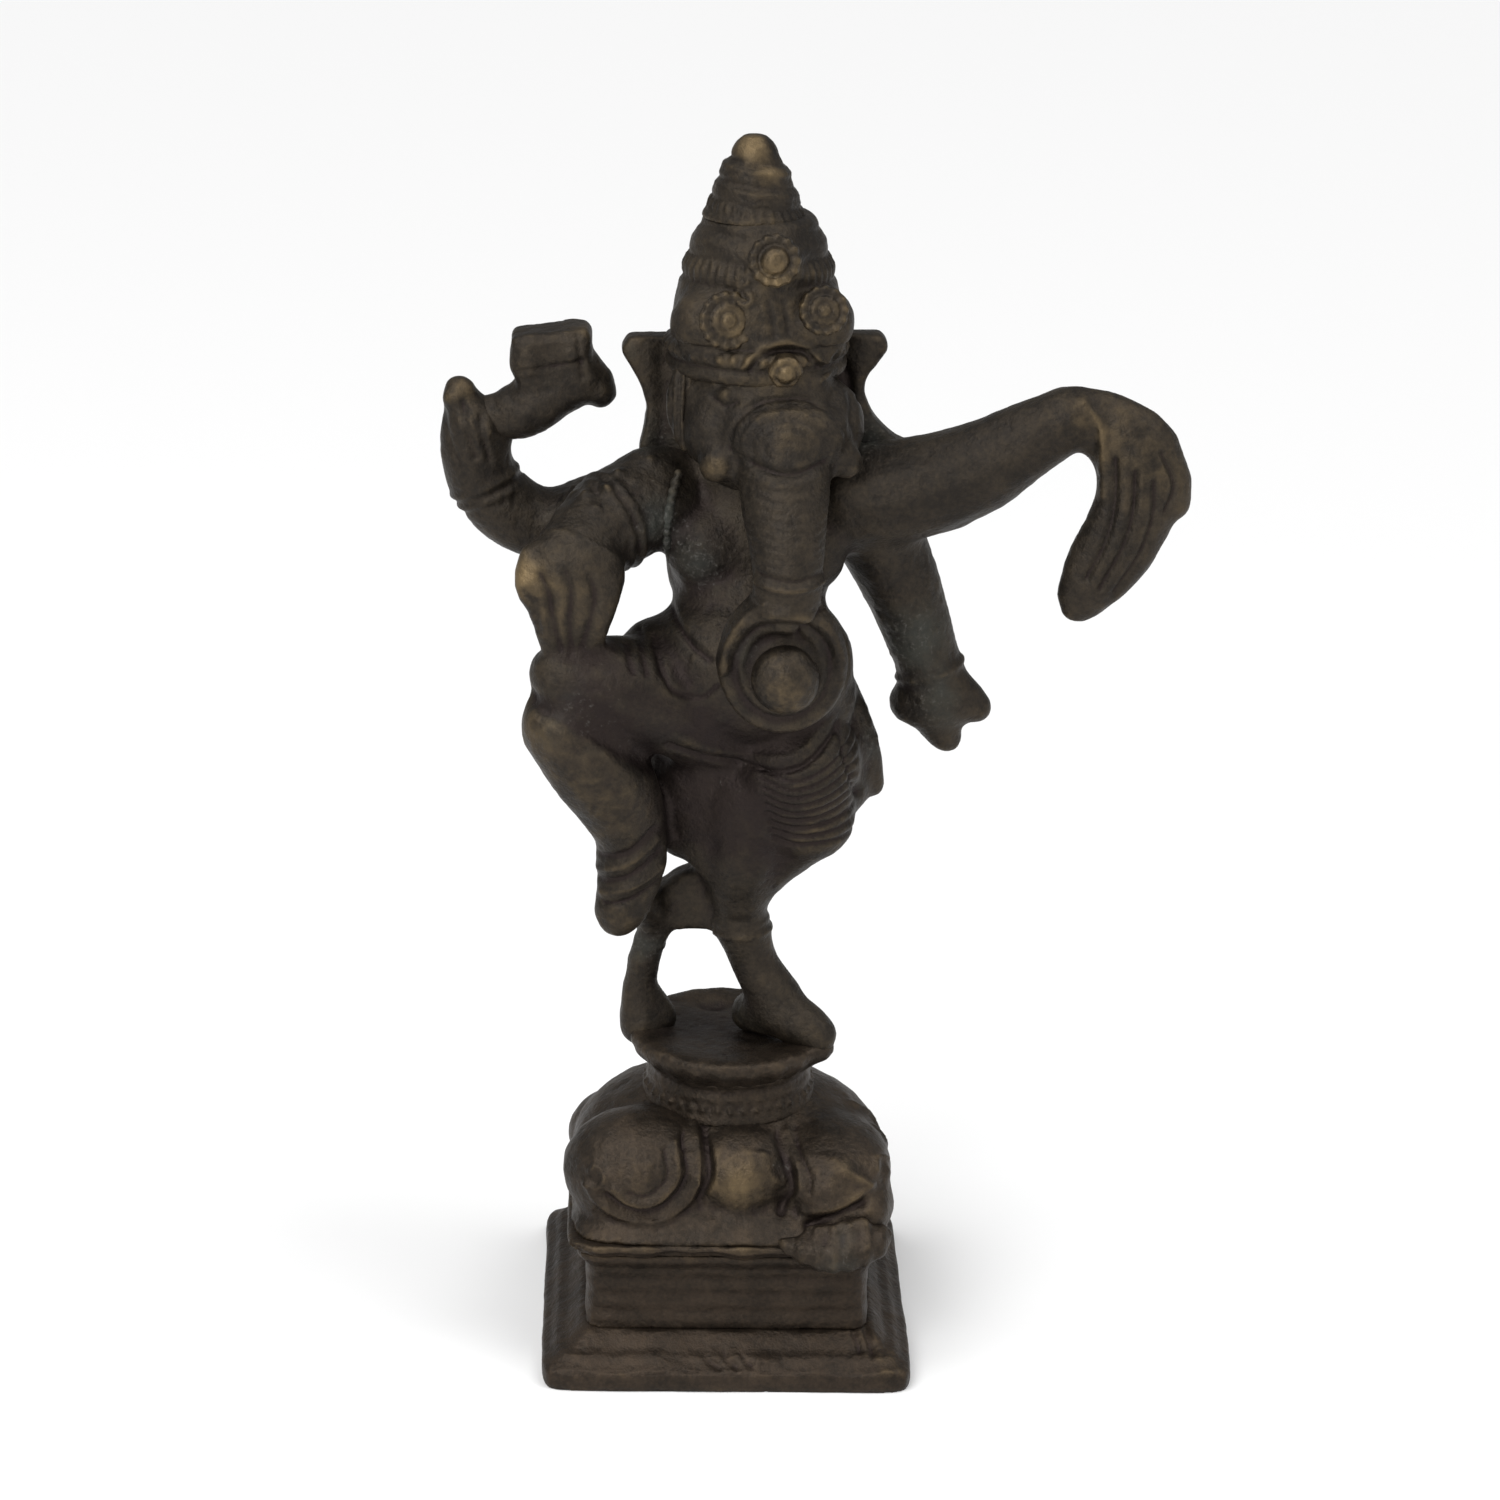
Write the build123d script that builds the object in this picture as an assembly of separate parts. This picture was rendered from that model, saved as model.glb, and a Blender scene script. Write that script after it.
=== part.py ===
from build123d import *
import os

os.makedirs("parts", exist_ok=True)

# A small solid cast brass figure: an elephant-headed dancer on one leg, on a mouse, on a stepped pedestal.
# Millimetres. +Z is up, -Y is the front, +X is the viewer's right, which is the figure's own left.
# The origin is the centre of the pedestal's flat underside, on which the piece stands.

# Pedestal: a sloped foot slab, a square neck and a thin top slab, pegged together.
base_width = 54.0
base_edge_height = 3.0
base_height = 7.0
base_top_width = 42.0
corner_radius = 1.2
neck_width = 41.0
neck_waist_width = 39.4
neck_height = 12.6
neck_flare_width = 43.5
neck_flare_height = 2.4
slab_width = 47.0
slab_thickness = 2.0
square_peg_width = 14.0
square_peg_depth = 4.0
peg_clearance = 0.1

# Mouse, crouching along X with its head to the right. Half sizes of each rounded form.
mouse_half_length = 23.2
mouse_half_width = 19.5
mouse_height = 17.0
mouse_sink = 4.0
haunch_half_length = 9.6
haunch_half_width = 8.0
haunch_half_height = 7.6
haunch_x = -13.5
haunch_y = -12.5
haunch_z = 5.4
far_haunch_half_height = 5.0
far_haunch_y = 10.0
mouse_head_half_length = 9.8
mouse_head_half_width = 13.0
mouse_head_half_height = 9.0
mouse_head_x = 14.5
mouse_head_y = -8.0
mouse_head_z = 5.9
paw_length = 9.0
paw_radius = 3.0
paw_inset = 0.9
paw_x = 12.6
paw_z = -0.6
mouse_peg_radius = 6.0
mouse_peg_depth = 7.0

# Saddle collar and round seat on the mouse's back, pegged down through the collar.
collar_radius = 12.4
collar_foot_radius = 14.2
collar_rise = 1.4
collar_depth = 6.0
seat_radius = 15.0
seat_height = 6.6
seat_rim_drop = 1.6
seat_dish_depth = 0.8
seat_dish_radius = 11.6
seat_peg_radius = 4.0
seat_peg_depth = 9.0

# Standing leg, from the seat up to the hip. Each offset starts from the joint below it.
foot_x = 4.0
foot_y = -1.0
heel_radius = 3.0
instep_offset = (4.0, -2.6, 4.6)
instep_radius = 4.2
toe_offset = (8.0, -4.6, 2.2)
toe_radius = 3.2
ankle_offset = (-1.2, -0.5, 11.0)
ankle_radius = 2.7
anklet_offset = (-2.2, -0.3, 7.4)
anklet_radius = 3.5
calf_offset = (10.1, -4.2, 19.6)
calf_radius = 3.4
knee_radius = 5.8
thigh_radius = 9.0

# Trunk of the body. The hip is measured up from the seat, and the standing thigh's top from the hip.
hip_x = -1.0
hip_y = -2.0
hip_rise = 40.4
standing_hip_offset = (6.3, -1.0, 5.4)
hips_half_width = 14.2
hips_half_depth = 9.5
hips_half_height = 14.0
belly_offset = (1.5, -2.5, 18.0)
belly_half_width = 14.5
belly_half_depth = 12.5
belly_half_height = 11.0
sash_radius = 1.4
sash_drop = 7.4
chest_offset = (2.0, 2.0, 33.0)
chest_half_width = 11.5
chest_half_depth = 8.2
chest_half_height = 14.0
shoulder_half_span = 15.0
shoulder_shift = 1.0
shoulder_rise = 7.5
shoulder_radius = 6.8
strand_radius = 1.4
strand_offset = (-6.6, -7.0, 9.0)
strand_fall = (1.4, -1.0, -13.0)
cloth_tail_start = (14.5, 0.0, 14.0)
cloth_tail_end = (20.2, 0.5, -1.0)
cloth_tail_radius = 2.4
cloth_tip_radius = 1.9

# Raised leg, from the hip out to the left of the view and back down.
raised_hip_offset = (-5.0, -3.0, 11.4)
raised_thigh_offset = (-19.0, -7.5, 5.6)
raised_thigh_radius = 8.4
raised_knee_radius = 5.6
shin_start_offset = (-1.0, -0.5, -6.0)
shin_offset = (12.0, 4.0, -17.5)
shin_radius = 5.3
raised_ankle_radius = 4.8
cuff_offset = (-0.6, -0.2, -7.5)
cuff_radius = 4.9
cuff_low_radius = 4.5
raised_foot_offset = (-2.0, -0.6, -5.7)
raised_foot_radius = 4.0
raised_toe_radius = 2.8

# Cast supports: a web from the standing ankle, and a sash end from the seat up to the raised foot.
web_height = 8.2
web_rise = 1.8
web_thickness = 4.4
strut_foot_x = -12.6
strut_foot_radius = 3.4
strut_radius = 2.5
strut_bow = 1.0
strut_bend_rise = 10.0
strut_top_offset = (2.4, 3.4, 0.6)

# Head, turned a little to the viewer's right, with flat ear plates behind it.
head_turn = 13.0
head_offset = (1.0, -1.5, 23.0)
skull_half_width = 11.4
skull_half_depth = 10.5
skull_half_height = 10.0
root_radius = 9.3
root_half_height = 5.1
root_depth = 5.0
root_reach = 9.8
root_drop = 3.5
trunk_reach = 11.5
trunk_drop = 5.0
trunk_top_radius = 6.3
trunk_low_radius = 4.9
trunk_offset = (0.4, -4.3, -17.0)
curl_offset = (-0.8, -0.5, -12.5)
curl_radius = 9.3
curl_thickness = 7.4
curl_rim = 1.6
curl_tilt = 8.0
sweet_radius = 4.8
sweet_proud = 2.6
tusk_radius = 2.3
tusk_tip_radius = 1.7
tusk_turn = 44.0
tusk_reach = 9.0
tusk_length = 4.6
tusk_drop = 7.4
ear_thickness = 2.8
ear_setback = 3.0
ear_top = 7.4
ear_lobe = 5.0
ear_waist = -1.0
ear_low = -9.0
ear_top_span = 18.0
ear_waist_span = 15.0
ear_low_span = 17.5
tassel_offset = (-10.0, -4.6, 3.8)
tassel_fall = (1.3, -1.0, -9.0)
tassel_radius = 1.5
tassel_tip_radius = 0.9

# Crown: band, dome and stepped finial on an axis that leans a little, with bosses round the front.
crown_lean = 2.4
crown_x = 0.0
crown_y = 1.5
crown_sink = 1.6
band_radius = 12.7
band_height = 3.0
band_inset = 0.7
dome_height = 15.8
dome_shoulder_radius = 11.5
dome_shoulder_height = 8.2
dome_upper_radius = 9.9
dome_upper_height = 12.4
dome_top_radius = 7.4
tier_radii = (6.4, 5.2, 3.6)
tier_height = 3.4
tier_step = 0.5
tip_radius = 1.7
tip_height = 1.8
boss_depth = 3.4
boss_proud = 1.2
boss_taper = 0.5
rosette_radius = 2.7
rosette_rise = 12.6
rosette_reach = 9.6
medallion_radius = 3.4
medallion_rise = 5.2
medallion_reach = 11.9
medallion_turn = 33.0
jewel_radius = 2.6
jewel_rise = -1.5
jewel_reach = 12.4

# Arms. Each offset runs from the joint before it.
front_right_elbow_offset = (-8.0, -6.0, -2.5)
front_right_wrist_offset = (-3.5, -6.0, -2.5)
front_elbow_radius = 6.2
front_wrist_radius = 5.0
palm_width = 13.4
finger_width = 9.0
hand_thickness = 6.6
armlet_proud = 1.0
armlet_width = 2.6
armlet_share = 0.55
rear_shoulder_offset = (2.0, 4.0, -2.0)
rear_right_elbow_offset = (-21.0, 5.0, -3.0)
rear_right_wrist_offset = (-3.6, -1.0, 6.5)
rear_shoulder_radius = 5.0
rear_elbow_radius = 4.4
rear_wrist_radius = 4.2
grip_offset = (-0.4, -0.5, 5.5)
grip_radius = 4.5
thumb_offset = (-1.8, -0.5, 5.6)
thumb_radius = 1.8
bracelet_proud = 0.8
bracelet_width = 2.4
shaft_start_offset = (1.5, 0.0, 2.7)
shaft_offset = (10.5, 0.0, 5.8)
shaft_radius = 3.1
axe_width = 10.4
axe_height = 7.8
axe_thickness = 6.2
axe_tilt = -6.0
axe_offset = (-0.3, 0.0, 1.8)
beak_offset = (6.7, 0.0, -4.4)
beak_radius = 1.5
front_left_elbow_offset = (15.0, -2.0, 5.3)
front_left_wrist_offset = (14.0, -3.0, 9.4)
front_left_elbow_radius = 5.9
front_left_wrist_radius = 4.3
knuckle_offset = (8.6, -1.0, -4.8)
knuckle_radius = 5.2
knuckle_half_width = 6.3
knuckle_half_depth = 3.9
finger_offset = (-4.8, -1.0, -14.6)
finger_half_width = 5.8
finger_half_depth = 3.2
fingertip_offset = (-3.6, -0.6, -6.8)
fingertip_half_width = 2.4
fingertip_half_depth = 2.0
rear_left_shoulder_offset = (1.0, 4.0, -0.5)
rear_left_wrist_offset = (9.5, 1.0, -25.0)
rear_left_arm_radius = 5.4
rear_left_wrist_radius = 4.6
fist_offset = (2.0, 0.0, -4.7)
fist_radius = 6.2
bud_offset = (5.6, -0.4, -3.0)
bud_radius = 1.9
stub_offset = (1.2, -0.4, -5.8)
stub_radius = 2.2

# Heights that follow from the sizes above.
neck_z = base_height
slab_z = neck_z + neck_height
mouse_z = slab_z + slab_thickness
collar_top_z = mouse_z + mouse_height + collar_rise
seat_top_z = collar_top_z + seat_height

placed = {}


def add(point, offset):
    return tuple(a + b for a, b in zip(point, offset))


def between(start, end, share):
    return tuple(a + (b - a) * share for a, b in zip(start, end))


def egg(centre, half_x, half_y, half_z):
    """An ellipsoid with its half sizes along X, Y and Z."""
    return Pos(*centre) * scale(Sphere(1), by=(half_x, half_y, half_z))


def ball(centre, radius):
    return Pos(*centre) * Sphere(radius)


def cone(start, end, start_radius, end_radius):
    """A straight round bar, tapered between two points."""
    axis = Vector(*end) - Vector(*start)
    place = Plane(origin=start, z_dir=axis)
    from_start = (Align.CENTER, Align.CENTER, Align.MIN)
    if abs(start_radius - end_radius) < 0.01:
        return place * Cylinder(start_radius, axis.length, align=from_start)
    return place * Cone(start_radius, end_radius, axis.length, align=from_start)


def limb(start, end, start_radius, end_radius):
    """A tapered bar whose far end is a round joint for the next piece to seat on."""
    return cone(start, end, start_radius, end_radius) + ball(end, end_radius)


def band(centre, direction, radius, width):
    """A short bar across a limb: once the limb is cut away, the ring worn round it is left."""
    return Plane(origin=centre, z_dir=direction) * Cylinder(radius, width)


def touches(first, second):
    a, b = first.bounding_box(), second.bounding_box()
    low = (a.min.X - b.max.X, a.min.Y - b.max.Y, a.min.Z - b.max.Z)
    high = (b.min.X - a.max.X, b.min.Y - a.max.Y, b.min.Z - a.max.Z)
    return max(low + high) < 0


def place(name, shape):
    """Seats a piece against every piece already placed, then writes it."""
    for other in placed.values():
        if touches(shape, other):
            shape = shape - other
    solid = max(shape.solids(), key=lambda piece: piece.volume)
    placed[name] = solid
    export_step(solid, f"parts/{name}.step")


def square_loft(levels):
    """A square block through a list of (height, width) levels, one flat band between each two."""
    block = None
    for (low_z, low_width), (high_z, high_width) in zip(levels, levels[1:]):
        low = Plane.XY.offset(low_z) * Rectangle(low_width, low_width)
        high = Plane.XY.offset(high_z) * Rectangle(high_width, high_width)
        course = loft([low, high], ruled=True)
        block = course if block is None else block + course
    return block


def turned(profile):
    """A round piece about Z from its half profile of (radius, height) points."""
    face = make_face(Plane.XZ * Polyline(*profile, close=True))
    return revolve(face, Axis.Z)


def front_of_head(turn, reach, rise):
    """A point out from the head's middle, by its turn from the way the face looks."""
    spot = Vector(0, -reach, 0).rotate(Axis.Z, head_turn + turn)
    return add(head, (spot.X, spot.Y, rise))


# Pedestal
def build_pedestal():
    foot = square_loft([(0, base_width), (base_edge_height, base_width), (base_height, base_top_width)])
    mortise_width = square_peg_width + 2 * peg_clearance
    mortise_depth = square_peg_depth + peg_clearance
    mortise = Pos(0, 0, neck_z - mortise_depth) * Box(
        mortise_width, mortise_width, mortise_depth + 1, align=(Align.CENTER, Align.CENTER, Align.MIN)
    )
    place("base_slab", foot - mortise)
    waist_z = neck_z + neck_height - neck_flare_height
    neck = square_loft(
        [(neck_z, neck_width), (neck_z + corner_radius, neck_waist_width), (waist_z, neck_waist_width),
         (slab_z, neck_flare_width)]
    )
    peg = Pos(0, 0, neck_z - square_peg_depth) * Box(
        square_peg_width, square_peg_width, square_peg_depth + 1,
        align=(Align.CENTER, Align.CENTER, Align.MIN)
    )
    socket_radius = mouse_peg_radius + peg_clearance
    socket = cone(
        (0, 0, mouse_z - mouse_peg_depth - peg_clearance), (0, 0, mouse_z + 1), socket_radius, socket_radius
    )
    place("pedestal_neck", neck + peg - socket)
    slab = Pos(0, 0, slab_z) * Box(
        slab_width, slab_width, slab_thickness, align=(Align.CENTER, Align.CENTER, Align.MIN)
    )
    slab = fillet(slab.edges().filter_by(Axis.Z), corner_radius)
    place("pedestal_top_slab", slab - socket)


# Mouse
def build_mouse():
    above = Pos(0, 0, mouse_z) * Box(
        2 * base_width, 2 * base_width, 2 * base_width, align=(Align.CENTER, Align.CENTER, Align.MIN)
    )
    mound_centre = (0, 0, mouse_z - mouse_sink)
    mound = egg(mound_centre, mouse_half_length, mouse_half_width, mouse_height + mouse_sink)
    peg = cone((0, 0, mouse_z - mouse_peg_depth), (0, 0, mouse_z + 1), mouse_peg_radius, mouse_peg_radius)
    place("mouse_body", (mound & above) + peg - seat_socket())
    near = (haunch_x, haunch_y, mouse_z + haunch_z)
    haunch = egg(near, haunch_half_length, haunch_half_width, haunch_half_height)
    place("mouse_haunch_near", haunch & above)
    far = (haunch_x, far_haunch_y, mouse_z + haunch_z)
    far_haunch = egg(far, haunch_half_length, haunch_half_width, far_haunch_half_height)
    place("mouse_haunch_far", far_haunch & above)
    skull_centre = (mouse_head_x, mouse_head_y, mouse_z + mouse_head_z)
    skull = egg(skull_centre, mouse_head_half_length, mouse_head_half_width, mouse_head_half_height)
    place("mouse_head", skull & above)
    paw_heel = (paw_x, paw_inset - slab_width / 2, mouse_z + paw_z)
    paw_tip = add(paw_heel, (paw_length, 0, 0))
    place("mouse_paw", limb(paw_heel, paw_tip, paw_radius, paw_radius) + ball(paw_heel, paw_radius))
    foot_z = collar_top_z - collar_depth
    collar = turned(
        [(0, foot_z), (collar_foot_radius, foot_z), (collar_radius, foot_z + collar_depth / 2),
         (collar_radius, collar_top_z), (0, collar_top_z)]
    )
    place("saddle_collar", collar - seat_socket())


def seat_socket():
    """The hole through the collar and into the mouse that takes the seat's peg."""
    radius = seat_peg_radius + peg_clearance
    floor = collar_top_z - seat_peg_depth - peg_clearance
    return cone((0, 0, floor), (0, 0, seat_top_z), radius, radius)


# Seat
def build_seat():
    rim_z = seat_top_z - seat_rim_drop
    dish_z = seat_top_z - seat_dish_depth
    seat = turned(
        [(0, collar_top_z), (collar_radius, collar_top_z), (seat_radius - 1.0, rim_z - 2.0),
         (seat_radius, rim_z), (seat_radius - 1.2, seat_top_z), (seat_dish_radius, seat_top_z),
         (seat_dish_radius - 1.6, dish_z), (0, dish_z)]
    )
    peg = cone(
        (0, 0, collar_top_z - seat_peg_depth), (0, 0, collar_top_z + 1), seat_peg_radius, seat_peg_radius
    )
    place("lotus_seat", seat + peg)


# Joint points of the figure, each from the one before it.
ground = (foot_x, foot_y, seat_top_z - seat_dish_depth)
ankle = add(ground, ankle_offset)
anklet_top = add(ankle, anklet_offset)
knee = add(anklet_top, calf_offset)
hip = (hip_x, hip_y, seat_top_z + hip_rise)
standing_hip = add(hip, standing_hip_offset)
belly = add(hip, belly_offset)
chest = add(hip, chest_offset)
head = add(chest, head_offset)
raised_hip = add(hip, raised_hip_offset)
raised_knee = add(raised_hip, raised_thigh_offset)
shin_start = add(raised_knee, shin_start_offset)
raised_ankle = add(shin_start, shin_offset)
cuff_end = add(raised_ankle, cuff_offset)
raised_toe = add(cuff_end, raised_foot_offset)
right_shoulder = add(chest, (shoulder_shift - shoulder_half_span, 0, shoulder_rise))
left_shoulder = add(chest, (shoulder_shift + shoulder_half_span, 0, shoulder_rise))


# Body
def build_body():
    place("hips", egg(hip, hips_half_width, hips_half_depth, hips_half_height))
    place("belly", egg(belly, belly_half_width, belly_half_depth, belly_half_height))
    place("chest", egg(chest, chest_half_width, chest_half_depth, chest_half_height))
    sash_centre = add(belly, (0, 0, -sash_drop))
    place("belly_sash", Pos(*sash_centre) * Torus(belly_half_depth - sash_radius, sash_radius))
    strand_top = add(chest, strand_offset)
    place("bead_strand", limb(strand_top, add(strand_top, strand_fall), strand_radius, strand_radius))
    tail_start = add(hip, cloth_tail_start)
    tail_end = add(hip, cloth_tail_end)
    place("cloth_tail", limb(tail_start, tail_end, cloth_tail_radius, cloth_tip_radius))


def build_standing_leg():
    heel = add(ground, (0, 0, heel_radius * 0.6))
    instep = add(ground, instep_offset)
    toe = add(ground, toe_offset)
    foot = limb(ankle, heel, ankle_radius, heel_radius)
    foot = foot + limb(ankle, instep, ankle_radius, instep_radius)
    place("standing_foot", foot + limb(instep, toe, instep_radius, toe_radius))
    place("standing_anklet", cone(ankle, anklet_top, anklet_radius, anklet_radius))
    place("standing_calf", limb(anklet_top, knee, calf_radius, knee_radius))
    place("standing_thigh", limb(knee, standing_hip, knee_radius, thigh_radius))


def build_raised_leg():
    place("raised_thigh", limb(raised_hip, raised_knee, raised_thigh_radius, raised_knee_radius))
    shin = limb(shin_start, raised_ankle, shin_radius, raised_ankle_radius) + ball(shin_start, shin_radius)
    place("raised_shin", shin)
    place("raised_cuff", cone(raised_ankle, cuff_end, cuff_radius, cuff_low_radius))
    place("raised_foot", limb(cuff_end, raised_toe, raised_foot_radius, raised_toe_radius))


def build_supports():
    foot_point = (strut_foot_x, 0, seat_top_z - seat_rim_drop)
    bend = add(foot_point, (-strut_bow, 0, strut_bend_rise))
    top_point = add(cuff_end, strut_top_offset)
    place("sash_strut_lower", limb(foot_point, bend, strut_foot_radius, strut_radius))
    place("sash_strut_upper", cone(bend, top_point, strut_radius, strut_radius))
    web_end = between(bend, top_point, 0.5)
    middle = between(anklet_top, web_end, 0.5)
    web = Pos(*middle) * Pos(0, 0, web_rise) * Box(anklet_top[0] - web_end[0], web_thickness, web_height)
    place("cloth_web", web)


# Head
def build_head():
    place("skull", egg(head, skull_half_width, skull_half_depth, skull_half_height))
    root_centre = front_of_head(0, root_reach, -root_drop)
    root = Pos(*root_centre) * Rot(0, 0, head_turn) * scale(
        Sphere(1), by=(root_radius, root_depth, root_half_height)
    )
    place("trunk_root", root)
    trunk_top = front_of_head(0, trunk_reach, -trunk_drop)
    trunk_low = add(trunk_top, trunk_offset)
    place("trunk_upper", limb(trunk_top, trunk_low, trunk_top_radius, trunk_low_radius))
    curl_centre = add(trunk_low, curl_offset)
    curl_place = Pos(*curl_centre) * Rot(90 - curl_tilt, 0, 0)
    hollow = curl_place * Pos(0, 0, curl_thickness / 2) * Cylinder(curl_radius - curl_rim, 2 * curl_rim)
    sweet_centre = add(curl_centre, (0, -sweet_proud, 0))
    place("sweet", ball(sweet_centre, sweet_radius))
    place("trunk_curl", curl_place * Cylinder(curl_radius, curl_thickness) - hollow)
    for side, name in ((-1, "right"), (1, "left")):
        base = front_of_head(side * tusk_turn, tusk_reach, -tusk_drop)
        tip = front_of_head(side * tusk_turn, tusk_reach + tusk_length, -tusk_drop)
        place(f"tusk_{name}", limb(base, tip, tusk_radius, tusk_tip_radius))
        place(f"ear_{name}", ear(side))
    tassel_top = add(head, tassel_offset)
    place("ear_tassel", limb(tassel_top, add(tassel_top, tassel_fall), tassel_radius, tassel_tip_radius))


def ear(side):
    """A flat plate that flares at its top and at its foot, with a hollow outer edge."""
    outline = [
        (0, ear_top), (side * (ear_top_span - 1), ear_top), (side * ear_top_span, ear_lobe),
        (side * ear_waist_span, ear_waist), (side * ear_low_span, ear_low), (0, ear_low)
    ]
    sheet = make_face(Plane.XZ * Polyline(*outline, close=True))
    front_y = head[1] + ear_setback
    return Pos(head[0], front_y, head[2]) * extrude(sheet, -ear_thickness)


# Crown
def build_crown():
    foot = add(head, (crown_x, crown_y, ear_top - crown_sink))
    seat = Pos(*foot) * Rot(0, -crown_lean, 0)
    dome_z = band_height
    finial_z = dome_z + dome_height
    rim = turned(
        [(0, 0), (band_radius - band_inset, 0), (band_radius, band_height / 2),
         (band_radius - band_inset, band_height), (0, band_height)]
    )
    place("crown_band", seat * rim)
    dome = turned(
        [(0, dome_z), (band_radius - band_inset, dome_z),
         (dome_shoulder_radius, dome_z + dome_shoulder_height),
         (dome_upper_radius, dome_z + dome_upper_height), (dome_top_radius, finial_z), (0, finial_z)]
    )
    place("crown_dome", seat * dome)
    profile = [(0, finial_z)]
    level = finial_z
    for radius in tier_radii:
        profile += [(radius, level), (radius - tier_step, level + tier_height)]
        level += tier_height
    profile += [(tip_radius, level + tip_height), (0, level + tip_height)]
    place("crown_finial", seat * turned(profile))
    bosses = (
        ("crown_rosette", 0, rosette_rise, rosette_radius, rosette_reach),
        ("crown_medallion_right", -medallion_turn, medallion_rise, medallion_radius, medallion_reach),
        ("crown_medallion_left", medallion_turn, medallion_rise, medallion_radius, medallion_reach),
        ("brow_jewel", 0, jewel_rise, jewel_radius, jewel_reach),
    )
    for name, turn, rise, radius, reach in bosses:
        axis = Vector(0, -1, 0).rotate(Axis.Z, head_turn + turn)
        inner = Vector(0, 0, dome_z + rise) + axis * (reach - boss_depth)
        outer = inner + axis * (boss_depth + boss_proud)
        place(name, seat * cone(tuple(inner), tuple(outer), radius, radius - boss_taper))


# Arms
def build_front_right_arm():
    elbow = add(right_shoulder, front_right_elbow_offset)
    wrist = add(elbow, front_right_wrist_offset)
    upper = limb(right_shoulder, elbow, shoulder_radius, front_elbow_radius)
    place("front_right_upper_arm", upper + ball(right_shoulder, shoulder_radius))
    place("front_right_forearm", limb(elbow, wrist, front_elbow_radius, front_wrist_radius))
    rest = add(raised_knee, (0, 0, raised_knee_radius - 1))
    palm = between(wrist, rest, 0.4)
    sections = [
        oval(add(wrist, (0, 0, 2)), front_wrist_radius, hand_thickness / 2),
        oval(palm, palm_width / 2, hand_thickness / 2),
        oval(rest, finger_width / 2, hand_thickness / 2),
    ]
    place("front_right_hand", loft(sections))
    spot = between(right_shoulder, elbow, armlet_share)
    armlet_radius = shoulder_radius + armlet_proud
    place("front_right_armlet", band(spot, front_right_elbow_offset, armlet_radius, armlet_width))


def oval(centre, half_width, half_depth):
    """A level ellipse, as one section of a hand."""
    return Pos(*centre) * Ellipse(half_width, half_depth)


def build_rear_right_arm():
    shoulder = add(right_shoulder, rear_shoulder_offset)
    elbow = add(right_shoulder, rear_right_elbow_offset)
    wrist = add(elbow, rear_right_wrist_offset)
    grip = add(wrist, grip_offset)
    thumb = add(grip, thumb_offset)
    place("rear_right_upper_arm", limb(shoulder, elbow, rear_shoulder_radius, rear_elbow_radius))
    place("rear_right_forearm", limb(elbow, wrist, rear_elbow_radius, rear_wrist_radius))
    shaft_start = add(grip, shaft_start_offset)
    shaft_end = add(shaft_start, shaft_offset)
    place("axe_shaft", cone(shaft_start, shaft_end, shaft_radius, shaft_radius))
    hand = limb(wrist, grip, rear_wrist_radius, grip_radius)
    place("rear_right_hand", hand + limb(grip, thumb, grip_radius - 1, thumb_radius))
    bracelet_radius = rear_wrist_radius + bracelet_proud
    place("rear_right_bracelet", band(wrist, rear_right_wrist_offset, bracelet_radius, bracelet_width))
    blade_centre = add(shaft_end, axe_offset)
    blade = Pos(*blade_centre) * Rot(0, axe_tilt, 0) * Box(axe_width, axe_thickness, axe_height)
    beak = limb(blade_centre, add(blade_centre, beak_offset), axe_thickness / 2, beak_radius)
    place("axe_head", blade + beak)


def build_front_left_arm():
    elbow = add(left_shoulder, front_left_elbow_offset)
    wrist = add(elbow, front_left_wrist_offset)
    knuckle = add(wrist, knuckle_offset)
    finger = add(knuckle, finger_offset)
    tip = add(finger, fingertip_offset)
    upper = limb(left_shoulder, elbow, shoulder_radius, front_left_elbow_radius)
    place("front_left_upper_arm", upper + ball(left_shoulder, shoulder_radius))
    place("front_left_forearm", limb(elbow, wrist, front_left_elbow_radius, front_left_wrist_radius))
    place("front_left_palm", limb(wrist, knuckle, front_left_wrist_radius, knuckle_radius))
    sections = [
        oval(knuckle, knuckle_half_width, knuckle_half_depth),
        oval(finger, finger_half_width, finger_half_depth),
        oval(tip, fingertip_half_width, fingertip_half_depth),
    ]
    place("front_left_fingers", loft(sections))


def build_rear_left_arm():
    shoulder = add(left_shoulder, rear_left_shoulder_offset)
    wrist = add(shoulder, rear_left_wrist_offset)
    place("rear_left_arm", limb(shoulder, wrist, rear_left_arm_radius, rear_left_wrist_radius))
    fist = add(wrist, fist_offset)
    bud = limb(fist, add(fist, bud_offset), bud_radius + 1, bud_radius)
    stub = limb(fist, add(fist, stub_offset), stub_radius + 1, stub_radius)
    place("rear_left_fist", ball(fist, fist_radius) + bud + stub)


build_pedestal()
build_mouse()
build_seat()
build_body()
build_standing_leg()
build_raised_leg()
build_supports()
build_head()
build_crown()
build_front_right_arm()
build_rear_right_arm()
build_front_left_arm()
build_rear_left_arm()
print(len(placed), "pieces")
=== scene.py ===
import bpy
import bmesh
import math
import numpy as np
from itertools import product
from mathutils import Vector, Matrix, Euler
from mathutils.bvhtree import BVHTree


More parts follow.
